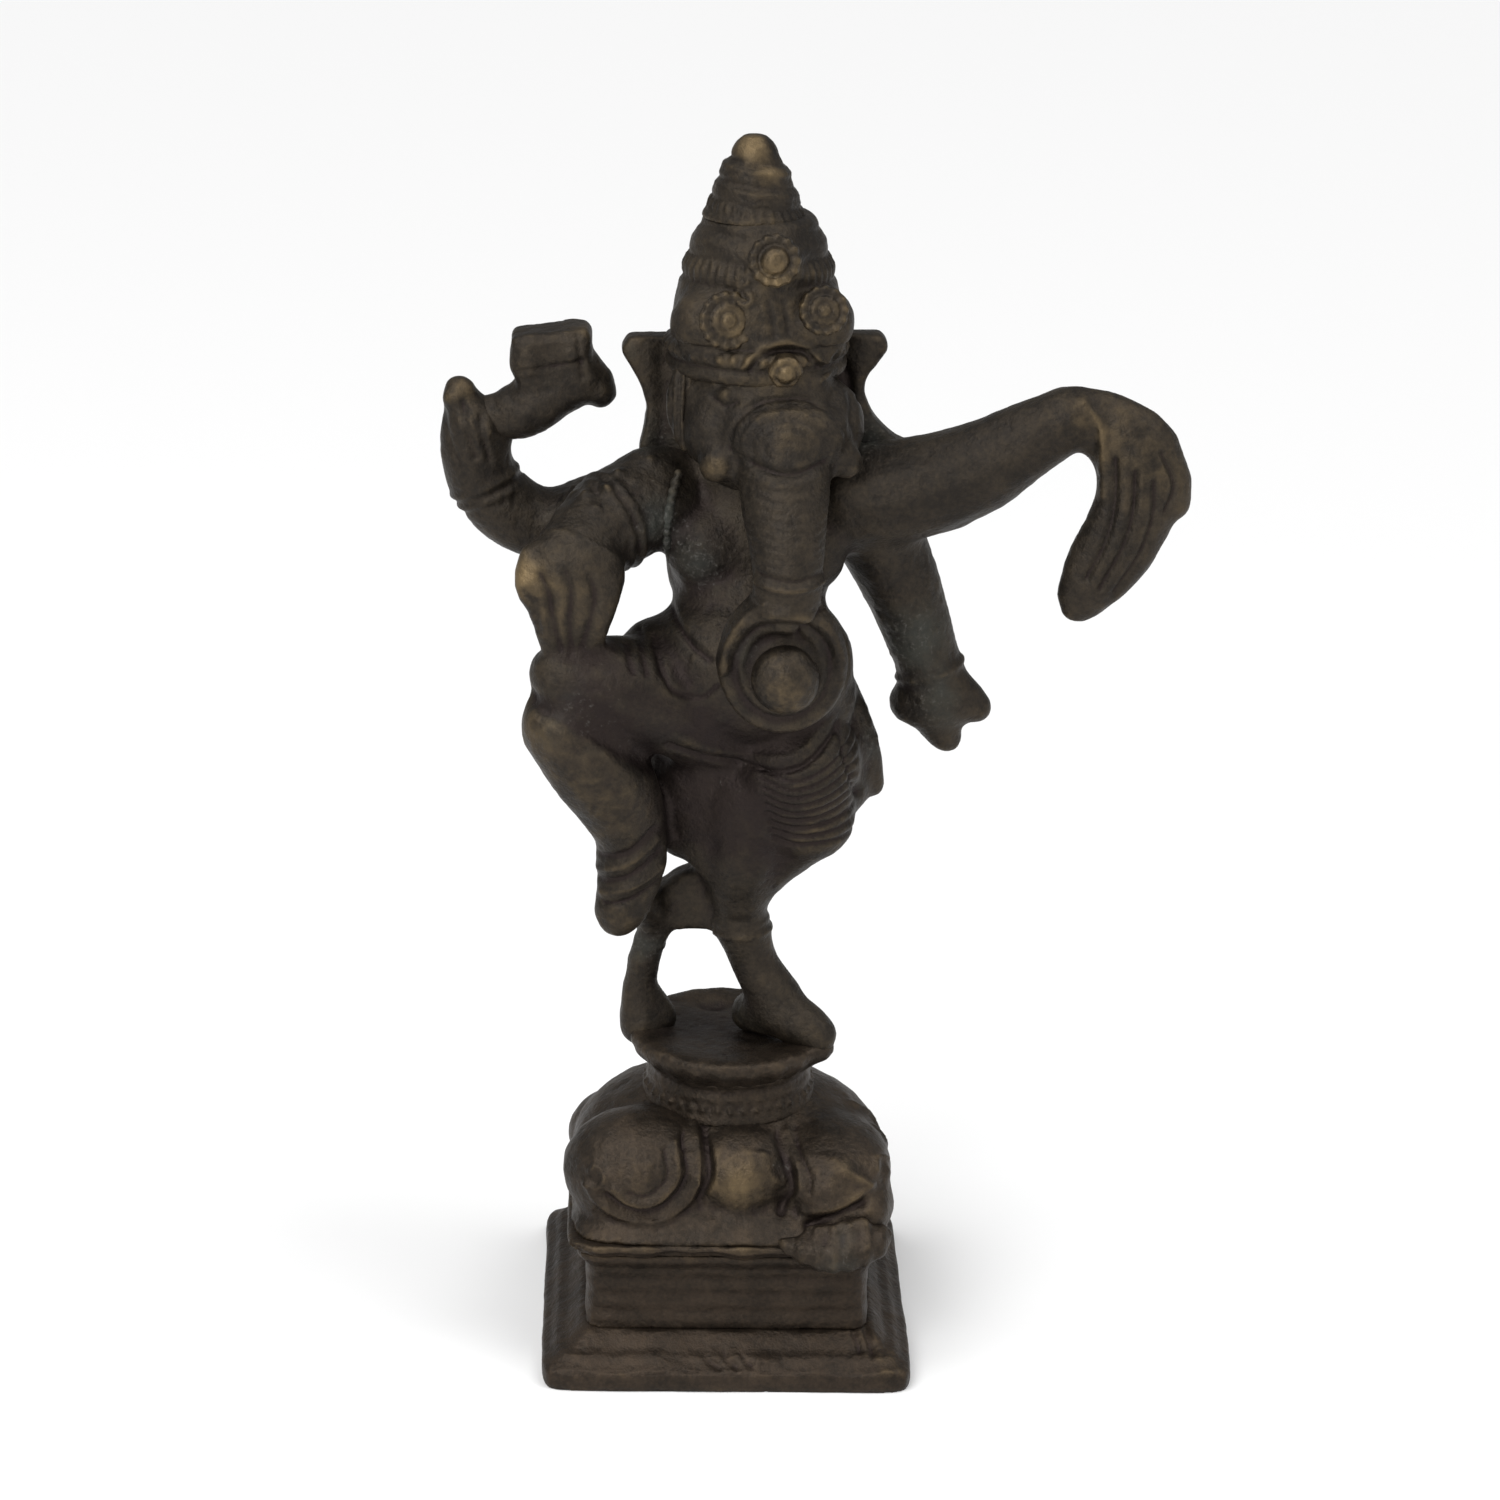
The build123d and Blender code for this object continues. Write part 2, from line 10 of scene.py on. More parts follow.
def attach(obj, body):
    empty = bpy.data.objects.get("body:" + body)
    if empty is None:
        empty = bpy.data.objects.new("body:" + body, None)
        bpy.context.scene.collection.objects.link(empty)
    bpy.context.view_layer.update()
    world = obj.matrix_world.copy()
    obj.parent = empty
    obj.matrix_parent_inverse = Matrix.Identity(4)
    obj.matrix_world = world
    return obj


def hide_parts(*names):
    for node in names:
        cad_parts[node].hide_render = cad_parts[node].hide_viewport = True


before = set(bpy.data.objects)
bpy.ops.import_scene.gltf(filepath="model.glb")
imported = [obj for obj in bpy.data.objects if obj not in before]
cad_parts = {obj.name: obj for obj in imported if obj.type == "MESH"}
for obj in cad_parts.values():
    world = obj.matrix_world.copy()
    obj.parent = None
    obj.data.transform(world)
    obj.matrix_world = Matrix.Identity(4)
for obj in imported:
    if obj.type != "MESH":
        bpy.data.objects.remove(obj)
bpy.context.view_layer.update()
# Everything is shaped in millimetres and put into metres as each piece is finished.
detail = 1.0
metres = 0.001
grainSeed = 7
capDepth = 1.3  # how far a parted piece's cap lies under the skin
print("frame loaded:", len(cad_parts), "pieces")


def addObject(name, data):
    made = bpy.data.objects.new(name, data)
    bpy.context.scene.collection.objects.link(made)
    return made


def newClay():  # lumps are pressed together, then get one skin
    return {"bm": bmesh.new(), "lumps": []}


def lump(clay, part, centre, radii, steps=3):
    size = Vector(radii) if hasattr(radii, "__len__") else Vector((radii,) * 3)
    place = Matrix.Translation(centre) @ Matrix.Diagonal((*size, 1))
    bmesh.ops.create_icosphere(clay["bm"], subdivisions=steps, radius=1, matrix=place)
    clay["lumps"].append((part, np.array(place.inverted()), min(size)))


def splineThrough(stations, stepsBetween):
    # a smooth line through a few stations
    s = np.array(stations, float)
    ends = np.vstack([2 * s[0] - s[1], s, 2 * s[-1] - s[-2]])
    path = []
    for i in range(len(s) - 1):
        a, b, c, d = ends[i:i + 4]
        steps = stepsBetween(b, c)
        for t in np.arange(steps) / steps:
            path.append(0.5 * (2 * b + (c - a) * t + (2 * a - 5 * b + 4 * c - d) * t ** 2
                               + (3 * b - a - 3 * c + d) * t ** 3))
    return path + [s[-1]]


def curve(points, steps):
    return splineThrough(points, lambda b, c: steps)


def limb(clay, part, stations, flat=1, overlap=0.3):
    # balls along a smooth line of (x, y, z, radius), close enough together to fuse
    def stepsBetween(b, c):
        return max(1, math.ceil(np.linalg.norm((c - b)[:3]) / (overlap * min(b[3], c[3]))))

    for x, y, z, r in splineThrough(stations, stepsBetween):
        lump(clay, part, (x, y, z), (r, r * flat, r), steps=2)


def press(clay, part, *shapes):
    # a tuple is one lump, its centre and its three radii; a list is a limb
    for shape in shapes:
        if isinstance(shape, list):
            limb(clay, part, shape)
        else:
            lump(clay, part, shape[:3], shape[3:])


def block(clay, part, centre, size, turn=(0, 0, 0)):
    spin = Euler([math.radians(a) for a in turn]).to_matrix().to_4x4()
    place = Matrix.Translation(centre) @ spin @ Matrix.Diagonal((*size, 1))
    bmesh.ops.create_cube(clay["bm"], size=1, matrix=place)
    clay["lumps"].append((part, np.array((place @ Matrix.Scale(0.6, 4)).inverted()), min(size) / 2))


def plate(clay, part, outline, yFront, yBack):
    bm = clay["bm"]
    corners = [bm.verts.new((x, yFront, z)) for x, z in outline]
    face = bm.faces.new(corners)
    made = bmesh.ops.extrude_face_region(bm, geom=[face])["geom"]
    moved = [g for g in made if isinstance(g, bmesh.types.BMVert)]
    bmesh.ops.translate(bm, verts=moved, vec=(0, yBack - yFront, 0))
    bmesh.ops.recalc_face_normals(bm, faces=list({f for v in corners + moved for f in v.link_faces}))
    middle = np.mean(outline, axis=0)
    for x, z in outline[1:-1] + [tuple(middle)]:
        spot = (x * 0.8 + middle[0] * 0.2, (yFront + yBack) / 2, z * 0.8 + middle[1] * 0.2)
        place = Matrix.Translation(spot) @ Matrix.Scale(2.5, 4)
        clay["lumps"].append((part, np.array(place.inverted()), 2.5))


def turned(clay, profile, centre=(0, 0), flat=1, steps=96):
    # a profile of (radius, height) spun about a vertical axis; its two ends are on the axis
    bm = clay["bm"]
    rim = [bm.verts.new((r, 0, z)) for r, z in profile]
    edges = [bm.edges.new(pair) for pair in zip(rim, rim[1:])]
    before = set(bm.verts) - set(rim)
    bmesh.ops.spin(bm, geom=rim + edges, cent=(0, 0, 0), axis=(0, 0, 1), angle=math.tau,
                   steps=steps, use_merge=True, use_duplicate=False)
    made = [v for v in bm.verts if v not in before]
    bmesh.ops.remove_doubles(bm, verts=made, dist=0.001)
    made = [v for v in bm.verts if v not in before]
    bmesh.ops.recalc_face_normals(bm, faces=list({f for v in made for f in v.link_faces}))
    bmesh.ops.scale(bm, verts=made, vec=(1, flat, 1))
    bmesh.ops.translate(bm, verts=made, vec=(*centre, 0))


def squared(clay, profile, roundness, centre=(0, 0)):
    # a square of (half width, height) stations drawn up in steps, its upright corners rounded
    bm = clay["bm"]
    ring = bmesh.ops.create_circle(bm, segments=128, radius=1, cap_ends=False)["verts"]
    edges = list({e for v in ring for e in v.link_edges})
    base = {v: math.atan2(v.co.y, v.co.x) for v in ring}

    def shape(verts, half, z):
        for v in verts:
            angle = math.atan2(v.co.y, v.co.x)
            c, s = math.cos(angle), math.sin(angle)
            power = half / roundness
            reach = (abs(c) ** power + abs(s) ** power) ** (-1 / power)
            v.co = (centre[0] + half * reach * c, centre[1] + half * reach * s, z)

    def turnBack(verts):
        for v in verts:
            v.co = (v.co.x - centre[0], v.co.y - centre[1], v.co.z)

    shape(ring, *profile[0])
    bmesh.ops.contextual_create(bm, geom=edges)
    for half, z in profile[1:]:
        made = bmesh.ops.extrude_edge_only(bm, edges=edges)["geom"]
        ring = [g for g in made if isinstance(g, bmesh.types.BMVert)]
        edges = [g for g in made if isinstance(g, bmesh.types.BMEdge)]
        turnBack(ring)
        shape(ring, half, z)
    bmesh.ops.contextual_create(bm, geom=edges)
    bmesh.ops.recalc_face_normals(bm, faces=bm.faces[:])


def readAll(items, what, width, kind=np.float32):
    flat = np.empty(len(items) * width, kind)
    items.foreach_get(what, flat)
    return flat.reshape(-1, width) if width > 1 else flat


def pointsOf(mesh):
    return readAll(mesh.vertices, "co", 3).astype(float)


def normalsOf(mesh):
    return readAll(mesh.vertex_normals, "vector", 3).astype(float)


def edgesOf(mesh):
    return readAll(mesh.edges, "vertices", 2, np.int32)


def setPoints(mesh, points):
    mesh.vertices.foreach_set("co", points.astype(np.float32).ravel())
    mesh.update()


def relaxed(points, edges, times, pull=0.5):
    a, b = edges[:, 0], edges[:, 1]
    both, other = np.concatenate([a, b]), np.concatenate([b, a])
    count = np.maximum(np.bincount(both, minlength=len(points)), 1)
    for _ in range(times):
        around = np.stack([np.bincount(both, points[other, k], len(points)) for k in range(3)], 1)
        points = points + pull * (around / count[:, None] - points)
    return points


def skinOver(clay, voxel, softness=6, finish=3):
    mesh = bpy.data.meshes.new("clay")
    clay["bm"].to_mesh(mesh)
    clay["bm"].free()
    for size, times in ((voxel * 2, softness), (voxel, finish)):
        if times == 0:  # a crisp piece has no coarse skin first
            continue
        holder = addObject("clay", mesh)
        skin = holder.modifiers.new("skin", "REMESH")
        skin.mode, skin.voxel_size, skin.use_smooth_shade = "VOXEL", size, True
        scene = bpy.context.evaluated_depsgraph_get()
        done = bpy.data.meshes.new_from_object(holder.evaluated_get(scene))
        bpy.data.objects.remove(holder)
        bpy.data.meshes.remove(mesh)
        mesh = done
        setPoints(mesh, relaxed(pointsOf(mesh), edgesOf(mesh), times))
    return mesh


# Carving: everything below moves the skin along its own normal.

def grain(points, size, seed=0):
    # smooth random field from -1 to 1 with lumps of about that size
    q = points / size + 31.7 * (seed + grainSeed)
    cell = np.floor(q).astype(np.int64)
    f = q - cell
    f = f * f * (3 - 2 * f)
    total = np.zeros(len(points))
    for corner in product((0, 1), repeat=3):
        k = cell + corner
        h = k[:, 0] * 73856093 ^ k[:, 1] * 19349663 ^ k[:, 2] * 83492791
        h = (h ^ (h >> 13)) * 1274126177
        value = ((h ^ (h >> 16)) & 0xffff) / 32767.5 - 1
        weight = np.prod([f[:, i] if corner[i] else 1 - f[:, i] for i in range(3)], axis=0)
        total += value * weight
    return total


def nearLine(points, path, width):
    # 1 on a line of points, falling to 0 beside it. A line of (x, z) ignores depth.
    path = np.array(path, float)
    use = [0, 2] if path.shape[1] == 2 else [0, 1, 2]
    p = points[:, use]
    low, high = path.min(0) - 3 * width, path.max(0) + 3 * width
    inside = np.where(((p > low) & (p < high)).all(1))[0]
    near = np.zeros(len(points))
    if len(inside) == 0:
        return near
    q = p[inside]
    best = np.full(len(q), 1e9)
    for a, b in zip(path, path[1:]):
        run = b - a
        t = np.clip(((q - a) @ run) / (run @ run), 0, 1)
        best = np.minimum(best, ((q - a - t[:, None] * run) ** 2).sum(1))
    near[inside] = np.exp(-best / width ** 2)
    return near


def bell(value, middle, width):
    return np.exp(-((value - middle) / width) ** 2)


def engrave(points, normals, lines, side=(0, -1, 0)):
    # lines of (path, width, height): a height below 0 is a groove, above 0 a ridge
    total = np.zeros(len(points))
    facing = np.clip(normals @ np.array(side) * 3 + 0.4, 0, 1)
    seen = points if side[0] == 0 else points[:, [1, 0, 2]]
    for path, width, height, *reach in lines:
        bite = nearLine(seen, curve(path, 6), width) * height * facing
        if reach:
            bite *= (points[:, 1] > reach[0]) & (points[:, 1] < reach[1])
        total += bite
    return total


def hoop(points, centre, axis, radius, width, height):
    # a ridge or groove right round a limb
    axis = Vector(axis).normalized()
    off = points - np.array(centre)
    along = off @ np.array(axis)
    across = np.linalg.norm(off - along[:, None] * np.array(axis), axis=1)
    return height * bell(along, 0, width) * (across < radius)


# waves are (height, size, seed) and pits (depth, size, seed, where they start)
casting = {"waves": [(0.16, 6.0, 1), (0.09, 2.4, 2), (0.05, 1.1, 3)],
           "pits": [(0.22, 1.3, 4, 0.55), (0.1, 0.7, 5, 0.5)]}


def castSkin(points, amount):
    # the slow waviness and the fine pits of a rough casting
    wave = sum(height * grain(points, size, seed) for height, size, seed in casting["waves"])
    pits = sum(depth * np.clip(grain(points, size, seed) - start, 0, 1)
               for depth, size, seed, start in casting["pits"])
    return amount * (wave - pits)


def spots(points, places):
    total = np.zeros(len(points))
    for x, y, z, size, amount in places:
        d2 = ((points - (x, y, z)) ** 2).sum(1)
        total += amount * np.exp(-d2 / size ** 2)
    return total


# where handling has rubbed the bronze bright, where painted shade darkens recesses and other parts, and where
# dust and green lie: (x, y, z, size, amount)
rubbedPlaces = [(3, -10, 156, 10, 0.34), (5.5, -14, 141, 6, 0.2), (0, -2, 179, 2.6, 0.9),
    (2.5, -4, 175.5, 2.2, 0.6), (3.3, -11, 163.8, 2.6, 0.5), (-2.6, -11, 156, 3, 0.25),
    (10.4, -9, 156.6, 3, 0.25), (5, -13, 149.6, 2.5, 0.4), (5.6, -22, 106, 4, 0.3),
    (-29, -16, 98, 4.5, 0.3), (-24, -19, 92, 6, 0.22), (-18, -17, 87, 5, 0.3), (47, -7, 142, 5, 0.3),
    (51, -9, 139, 5, 0.3), (58, -9, 135, 5, 0.25), (-30, -15, 121, 2.4, 1), (-25, -17, 118, 5, 0.25),
    (-39.5, 1, 142, 2.5, 0.35), (1.4, -21, 30, 5, 0.75), (-13, -20, 32, 4, 0.25), (18, -20, 33, 5, 0.3),
    (-4.7, -13, 135.8, 2.4, 0.5), (15.8, -12, 136, 2, 0.3), (-6, -17, 96, 5, 0.15), (-16, -14, 68, 4, 0.25),
    (14, -12, 80, 6, 0.25), (24, -26, 6, 4, 0.45), (6.5, -16, 141, 4, 0.1)]
# painted shade: the recesses under the belly, between the legs and behind them are darkened, as are the belly,
# thigh and shin; the negative spot takes darkening off the head
paintedShadePlaces = [(2, -14, 92, 12, 0.6), (-7, -8, 86, 9, 0.6), (4, -8, 78, 9, 0.6), (-8, -14, 102, 12, 0.4),
    (-4, -6, 114, 8, 0.25), (-4, -7, 127, 5, 0.4), (12, -6, 126, 5, 0.4), (-12, 0, 55, 8, 0.4),
    (4, -3, 56, 8, 0.4), (0, 0, 43, 14, 0.3), (-22, -18, 94, 10, 0.4), (-15, -14, 80, 8, 0.35),
    (6, -16, 98, 8, 0.3), (-20, -16, 106, 9, 0.5), (12, -14, 84, 9, 0.35), (3, -12, 154, 14, -0.25)]
greenPlaces = [(17, -25, 19, 5.5, 0.55), (9, -22, 20, 4, 0.4), (-22, -16, 103, 6, 0.35),
    (-6, -8, 121, 5, 0.7), (-13, -8, 127, 5, 0.7), (24, 1, 108, 7, 0.7), (17, 0, 136, 5, 0.8),
    (-13, 0, 136, 5, 0.6), (19.5, -2, 92, 4, 0.6), (-12, 0, 60, 5, 0.7), (28, 1, 97, 5, 0.55),
    (0, 3, 47, 9, 0.4), (8, -19, 33, 2.2, 1), (-17, -3, 150, 4, 0.7), (-24, 1, 125, 6, 0.5),
    (0, -17, 112, 4, 0.5)]


def paintWear(mesh, extraRub=0, extraGreen=0):
    # how far each point stands above or below its surroundings decides where it is rubbed, and where it is
    # filled with grime and darkened as painted shade
    points, edges = pointsOf(mesh), edgesOf(mesh)
    normals = normalsOf(mesh)
    step = np.median(np.linalg.norm(points[edges[:, 0]] - points[edges[:, 1]], axis=1))
    times = int(max(2, min(14, (0.8 / step) ** 2 * 2)))
    near = relaxed(points, edges, times)
    far = relaxed(near, edges, times * 3)
    fine = ((points - near) * normals).sum(1)
    broad = ((near - far) * normals).sum(1)
    wear = np.clip(1.0 * fine + 0.5 * broad, -0.5, 0.5) + spots(points, rubbedPlaces) + extraRub
    # hollows and creases score high here: their darkening is painted shade, mixed with real grime and green
    grimeAndShade = np.clip(-3.0 * fine - 1.2 * broad, -0.4, 0.9) + 0.7 * spots(points, greenPlaces) + extraGreen
    # painted shade from the listed places
    grimeAndShade += spots(points, paintedShadePlaces)
    for name, value in (("wear", wear), ("grimeAndShade", grimeAndShade), ("green", spots(points, greenPlaces) + extraGreen)):
        layer = mesh.attributes.get(name) or mesh.attributes.new(name, "FLOAT", "POINT")
        layer.data.foreach_set("value", value.astype(np.float32))


def finishPiece(name, mesh, slotName, nodes):
    setPoints(mesh, pointsOf(mesh) * metres)
    piece = addObject(name, mesh)
    mesh.name = name
    mesh.materials.clear()
    mesh.materials.append(bronze[slotName])
    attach(piece, "root")
    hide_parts(*nodes)


def carvedSkin(clay, look, carve=None):
    # look holds a piece's own numbers; softness and finish are how far the coarse and the fine skin are eased
    look = {"softness": 0, "finish": 2, "rough": 1, "rub": 0, "green": 0, "flatFoot": None, **look}
    mesh = skinOver(clay, look["voxel"] * detail, look["softness"], look["finish"])
    points, normals = pointsOf(mesh), normalsOf(mesh)
    move = castSkin(points, look["rough"])
    if carve:
        move += carve(points, normals)
    points = points + normals * move[:, None]
    if look["flatFoot"] is not None:
        points[points[:, 2] < look["flatFoot"] + 0.25, 2] = look["flatFoot"]
    setPoints(mesh, points)
    paintWear(mesh, look["rub"], look["green"])
    return mesh


def shapePiece(name, clay, look, carve, slotName, nodes):
    mesh = carvedSkin(clay, look, carve)
    print("shaped", name, len(mesh.vertices))
    finishPiece(name, mesh, slotName, nodes)


def splitSkin(mesh, clay, parts, slotName):
    # a fused skin parted into named pieces, each face going to its nearest lump, each piece closed again
    points, normals = pointsOf(mesh), normalsOf(mesh)
    names = sorted({part for part, *_ in clay["lumps"]})
    best = np.full(len(points), 1e9)
    owner = np.zeros(len(points), int)
    for part, undo, size in clay["lumps"]:
        q = points @ undo[:3, :3].T + undo[:3, 3]
        d = (np.linalg.norm(q, axis=1) - 1) * size
        closer = d < best
        best[closer], owner[closer] = d[closer], names.index(part)
    edges = edgesOf(mesh)
    for _ in range(6):  # smooth the borders
        votes = np.zeros((len(points), len(names)), np.int16)
        np.add.at(votes, (edges[:, 0], owner[edges[:, 1]]), 1)
        np.add.at(votes, (edges[:, 1], owner[edges[:, 0]]), 1)
        votes[np.arange(len(points)), owner] += 1
        owner = votes.argmax(1)
    owner = withoutIslands(owner, edges)
    flow = mesh.attributes.new("flow", "FLOAT_VECTOR", "POINT")
    flow.data.foreach_set("vector", normals.astype(np.float32).ravel())
    whole = bmesh.new()
    whole.from_mesh(mesh)
    corners = readAll(mesh.loops, "vertex_index", 1, np.int32)
    starts = readAll(mesh.polygons, "loop_start", 1, np.int32)
    faceOwner = owner[corners[starts]]  # a face goes with its first corner
    for index, part in enumerate(names):
        bm = whole.copy()
        bm.faces.ensure_lookup_table()
        gone = [bm.faces[i] for i in np.where(faceOwner != index)[0]]
        bmesh.ops.delete(bm, geom=gone, context="FACES")
        skinCorners = sum(len(f.verts) for f in bm.faces)
        for f in bm.faces:
            f.smooth = True
        closeInside(bm, bm.verts.layers.float_vector["flow"])
        piece = bpy.data.meshes.new(part)
        bm.to_mesh(piece)
        bm.free()
        shown = readAll(piece.attributes["flow"].data, "vector", 3)
        piece.attributes.remove(piece.attributes["flow"])
        shown = shown[readAll(piece.loops, "vertex_index", 1, np.int32)]
        shown[skinCorners:] = 0  # the caps keep their own flat normals
        piece.normals_split_custom_set(shown)
        finishPiece(part, piece, slotName, parts[part])
        print("parted", part, len(piece.vertices))
    whole.free()


def closeInside(bm, flow):
    # the open rim is drawn in under the skin, then closed, so that no cap shows at a border
    rim = [e for e in bm.edges if e.is_boundary]
    rimVerts = {v for e in rim for v in e.verts}
    sunk = {v: bm.verts.new(v.co - v[flow].normalized() * capDepth, v) for v in rimVerts}
    inner = []
    for e in rim:
        loop = e.link_loops[0]
        a, b = loop.vert, loop.link_loop_next.vert
        wall = bm.faces.new((b, a, sunk[a], sunk[b]))
        inner.append(next(k for k in wall.edges if set(k.verts) == {sunk[a], sunk[b]}))
    count = len(bm.faces)
    bmesh.ops.holes_fill(bm, edges=inner, sides=0)
    caps = bm.faces[:][count:]
    for f in caps:
        near, other = f.edges[0].link_loops[:2]
        if near.vert == other.vert:
            f.normal_flip()
    bmesh.ops.poke(bm, faces=[f for f in caps if len(f.verts) > 4])


def withoutIslands(owner, edges):
    # each part keeps its largest patch, and every smaller patch goes to the part round it
    a, b = edges[:, 0], edges[:, 1]
    same = owner[a] == owner[b]
    p, q = a[same], b[same]
    root = np.arange(len(owner))
    while True:
        low = np.minimum(root[p], root[q])
        joined = root.copy()
        np.minimum.at(joined, root[p], low)
        np.minimum.at(joined, root[q], low)
        joined = joined[joined[joined]]
        if (joined == root).all():
            break
        root = joined
    size = np.bincount(root, minlength=len(owner))[root]
    largest = np.zeros(owner.max() + 1, int)
    np.maximum.at(largest, owner, size)
    lost = size < largest[owner]
    owner = np.where(lost, -1, owner)
    for _ in range(400):
        if not (owner < 0).any():
            break
        for u, v in ((a, b), (b, a)):
            take = (owner[u] < 0) & (owner[v] >= 0)
            owner[u[take]] = owner[v[take]]
    return owner


bronzeLook = {"dark": (0.017, 0.0138, 0.0110, 1), "brown": (0.046, 0.0355, 0.0245, 1),
    "brass": (0.21, 0.148, 0.074, 1), "green": (0.032, 0.040, 0.034, 1), "dust": (0.13, 0.125, 0.115, 1),
    "grimeAndShadeDark": (0.017, 0.0105, 0.0102, 1), "rubStart": 0.15, "rubEnd": 1.6, "roughness": 0.55, "metal": 0.80,
    "bump": 0.75, "bumpDepth": 0.0003, "cloudScale": 90, "mottleScale": 420, "speckScale": 1500, }


def agedBronze(name, **changes):
    look = {**bronzeLook, **changes}
    material = bpy.data.materials.new(name)
    material.use_nodes = True
    tree = material.node_tree
    tree.nodes.clear()
    link = tree.links.new

    def node(kind, **settings):
        made = tree.nodes.new(kind)
        for key, value in settings.items():
            setattr(made, key, value)
        return made

    def noise(scale, depth, seed):
        place = node("ShaderNodeMapping")
        place.inputs["Location"].default_value = (seed, seed * 0.7, seed * 1.3)
        link(coord.outputs["Object"], place.inputs["Vector"])
        made = node("ShaderNodeTexNoise")
        made.inputs["Scale"].default_value = scale
        made.inputs["Detail"].default_value = depth
        made.inputs["Roughness"].default_value = 0.62
        link(place.outputs["Vector"], made.inputs["Vector"])
        return made.outputs["Fac"]

    def span(value, low, high, toLow=0, toHigh=1):
        made = node("ShaderNodeMapRange", interpolation_type="SMOOTHSTEP")
        for key, number in zip(("From Min", "From Max", "To Min", "To Max"), (low, high, toLow, toHigh)):
            made.inputs[key].default_value = number
        link(value, made.inputs["Value"])
        return made.outputs["Result"]

    def maths(kind, a, b):
        made = node("ShaderNodeMath", operation=kind)
        for socket, value in zip(made.inputs, (a, b)):
            if isinstance(value, (int, float)):
                socket.default_value = value
            else:
                link(value, socket)
        return made.outputs["Value"]

    def blend(share, a, b):
        made = node("ShaderNodeMix", data_type="RGBA")
        link(share, made.inputs["Factor"])
        for socket, value in ((made.inputs[6], a), (made.inputs[7], b)):
            if isinstance(value, tuple):
                socket.default_value = value
            else:
                link(value, socket)
        return made.outputs[2]

    def layer(title):
        return node("ShaderNodeAttribute", attribute_name=title).outputs["Fac"]

    def weigh(*terms):
        # the sum of the terms (value, share, middle), each taken about its middle
        total = None
        for value, share, middle in terms:
            if middle:
                value = maths("SUBTRACT", value, middle)
            if share != 1:
                value = maths("MULTIPLY", value, share)
            total = value if total is None else maths("ADD", total, value)
        return total

    coord = node("ShaderNodeTexCoord")
    wear, grimeAndShade, green = layer("wear"), layer("grimeAndShade"), layer("green")
    cloud, mottle = noise(look["cloudScale"], 4, 1), noise(look["mottleScale"], 5, 2)
    speck = noise(look["speckScale"], 3, 3)
    tone = weigh((cloud, 0.55, 0), (mottle, 0.5, 0), (speck, 0.4, 0))
    skin = blend(span(tone, 0.52, 0.96), look["dark"], look["brown"])
    rub = weigh((wear, 1, 0), (mottle, 0.9, 0.5), (cloud, 0.5, 0.5))
    rubShare = span(rub, look["rubStart"], look["rubEnd"])
    skin = blend(rubShare, skin, look["brass"])
    # painted shade: creases, hollows and the listed recesses are darkened towards a near-black colour, together
    # with grime
    skin = blend(span(grimeAndShade, 0.15, 0.9, 0, 0.7), skin, look["grimeAndShadeDark"])
    greenShare = span(weigh((green, 1, 0), (cloud, 1.6, 0.5)), 0.25, 1.2, 0, 0.75)
    skin = blend(greenShare, skin, look["green"])
    dust = weigh((grimeAndShade, 0.15, 0), (green, 0.55, 0), (speck, 1.9, 0.5))
    dustShare = span(dust, 0.42, 1, 0, 0.6)
    skin = blend(dustShare, skin, look["dust"])
    dull = maths("MAXIMUM", greenShare, dustShare)
    metal = maths("SUBTRACT", look["metal"], weigh((dull, 0.6, 0)))
    gloss = weigh((look["roughness"], 1, 0), (mottle, 0.35, 0.5), (rubShare, -0.10, 0), (dull, 0.25, 0))
    bump = node("ShaderNodeBump")
    bump.inputs["Strength"].default_value = look["bump"]
    bump.inputs["Distance"].default_value = look["bumpDepth"]
    link(weigh((mottle, 1, 0), (speck, 0.7, 0)), bump.inputs["Height"])
    shader = node("ShaderNodeBsdfPrincipled")
    link(skin, shader.inputs["Base Color"])
    link(metal, shader.inputs["Metallic"])
    link(gloss, shader.inputs["Roughness"])
    link(bump.outputs["Normal"], shader.inputs["Normal"])
    out = node("ShaderNodeOutputMaterial")
    link(shader.outputs["BSDF"], out.inputs["Surface"])
    return material


bronze = {
    "figure_brass": agedBronze("figureBronze"),
    "mount_brass": agedBronze("mountBronze", roughness=0.52, dark=(0.021, 0.0160, 0.0115, 1),
                              brown=(0.054, 0.039, 0.0265, 1)),
    "pedestal_brass": agedBronze("pedestalBronze", roughness=0.54, dark=(0.020, 0.0150, 0.0108, 1),
                                 brown=(0.051, 0.036, 0.0245, 1)),
    "rubbed_brass": agedBronze("rubbedBronze", rubEnd=1.25, roughness=0.5)}
print("bronze mixed")


plinthFoot = {"voxel": 0.33, "finish": 9, "rough": 0.7, "flatFoot": 0.0, "corner": 1.3, "ripple": 0.15}
clay = newClay()
squared(clay, [(26.9, 0), (27.15, 0.3), (27.15, 2.7), (26.8, 3.15), (25.9, 3.5), (24.9, 4.6), (24.3, 4.75),
    (23.4, 5), (21.4, 6.9), (20.6, 7)], plinthFoot["corner"])


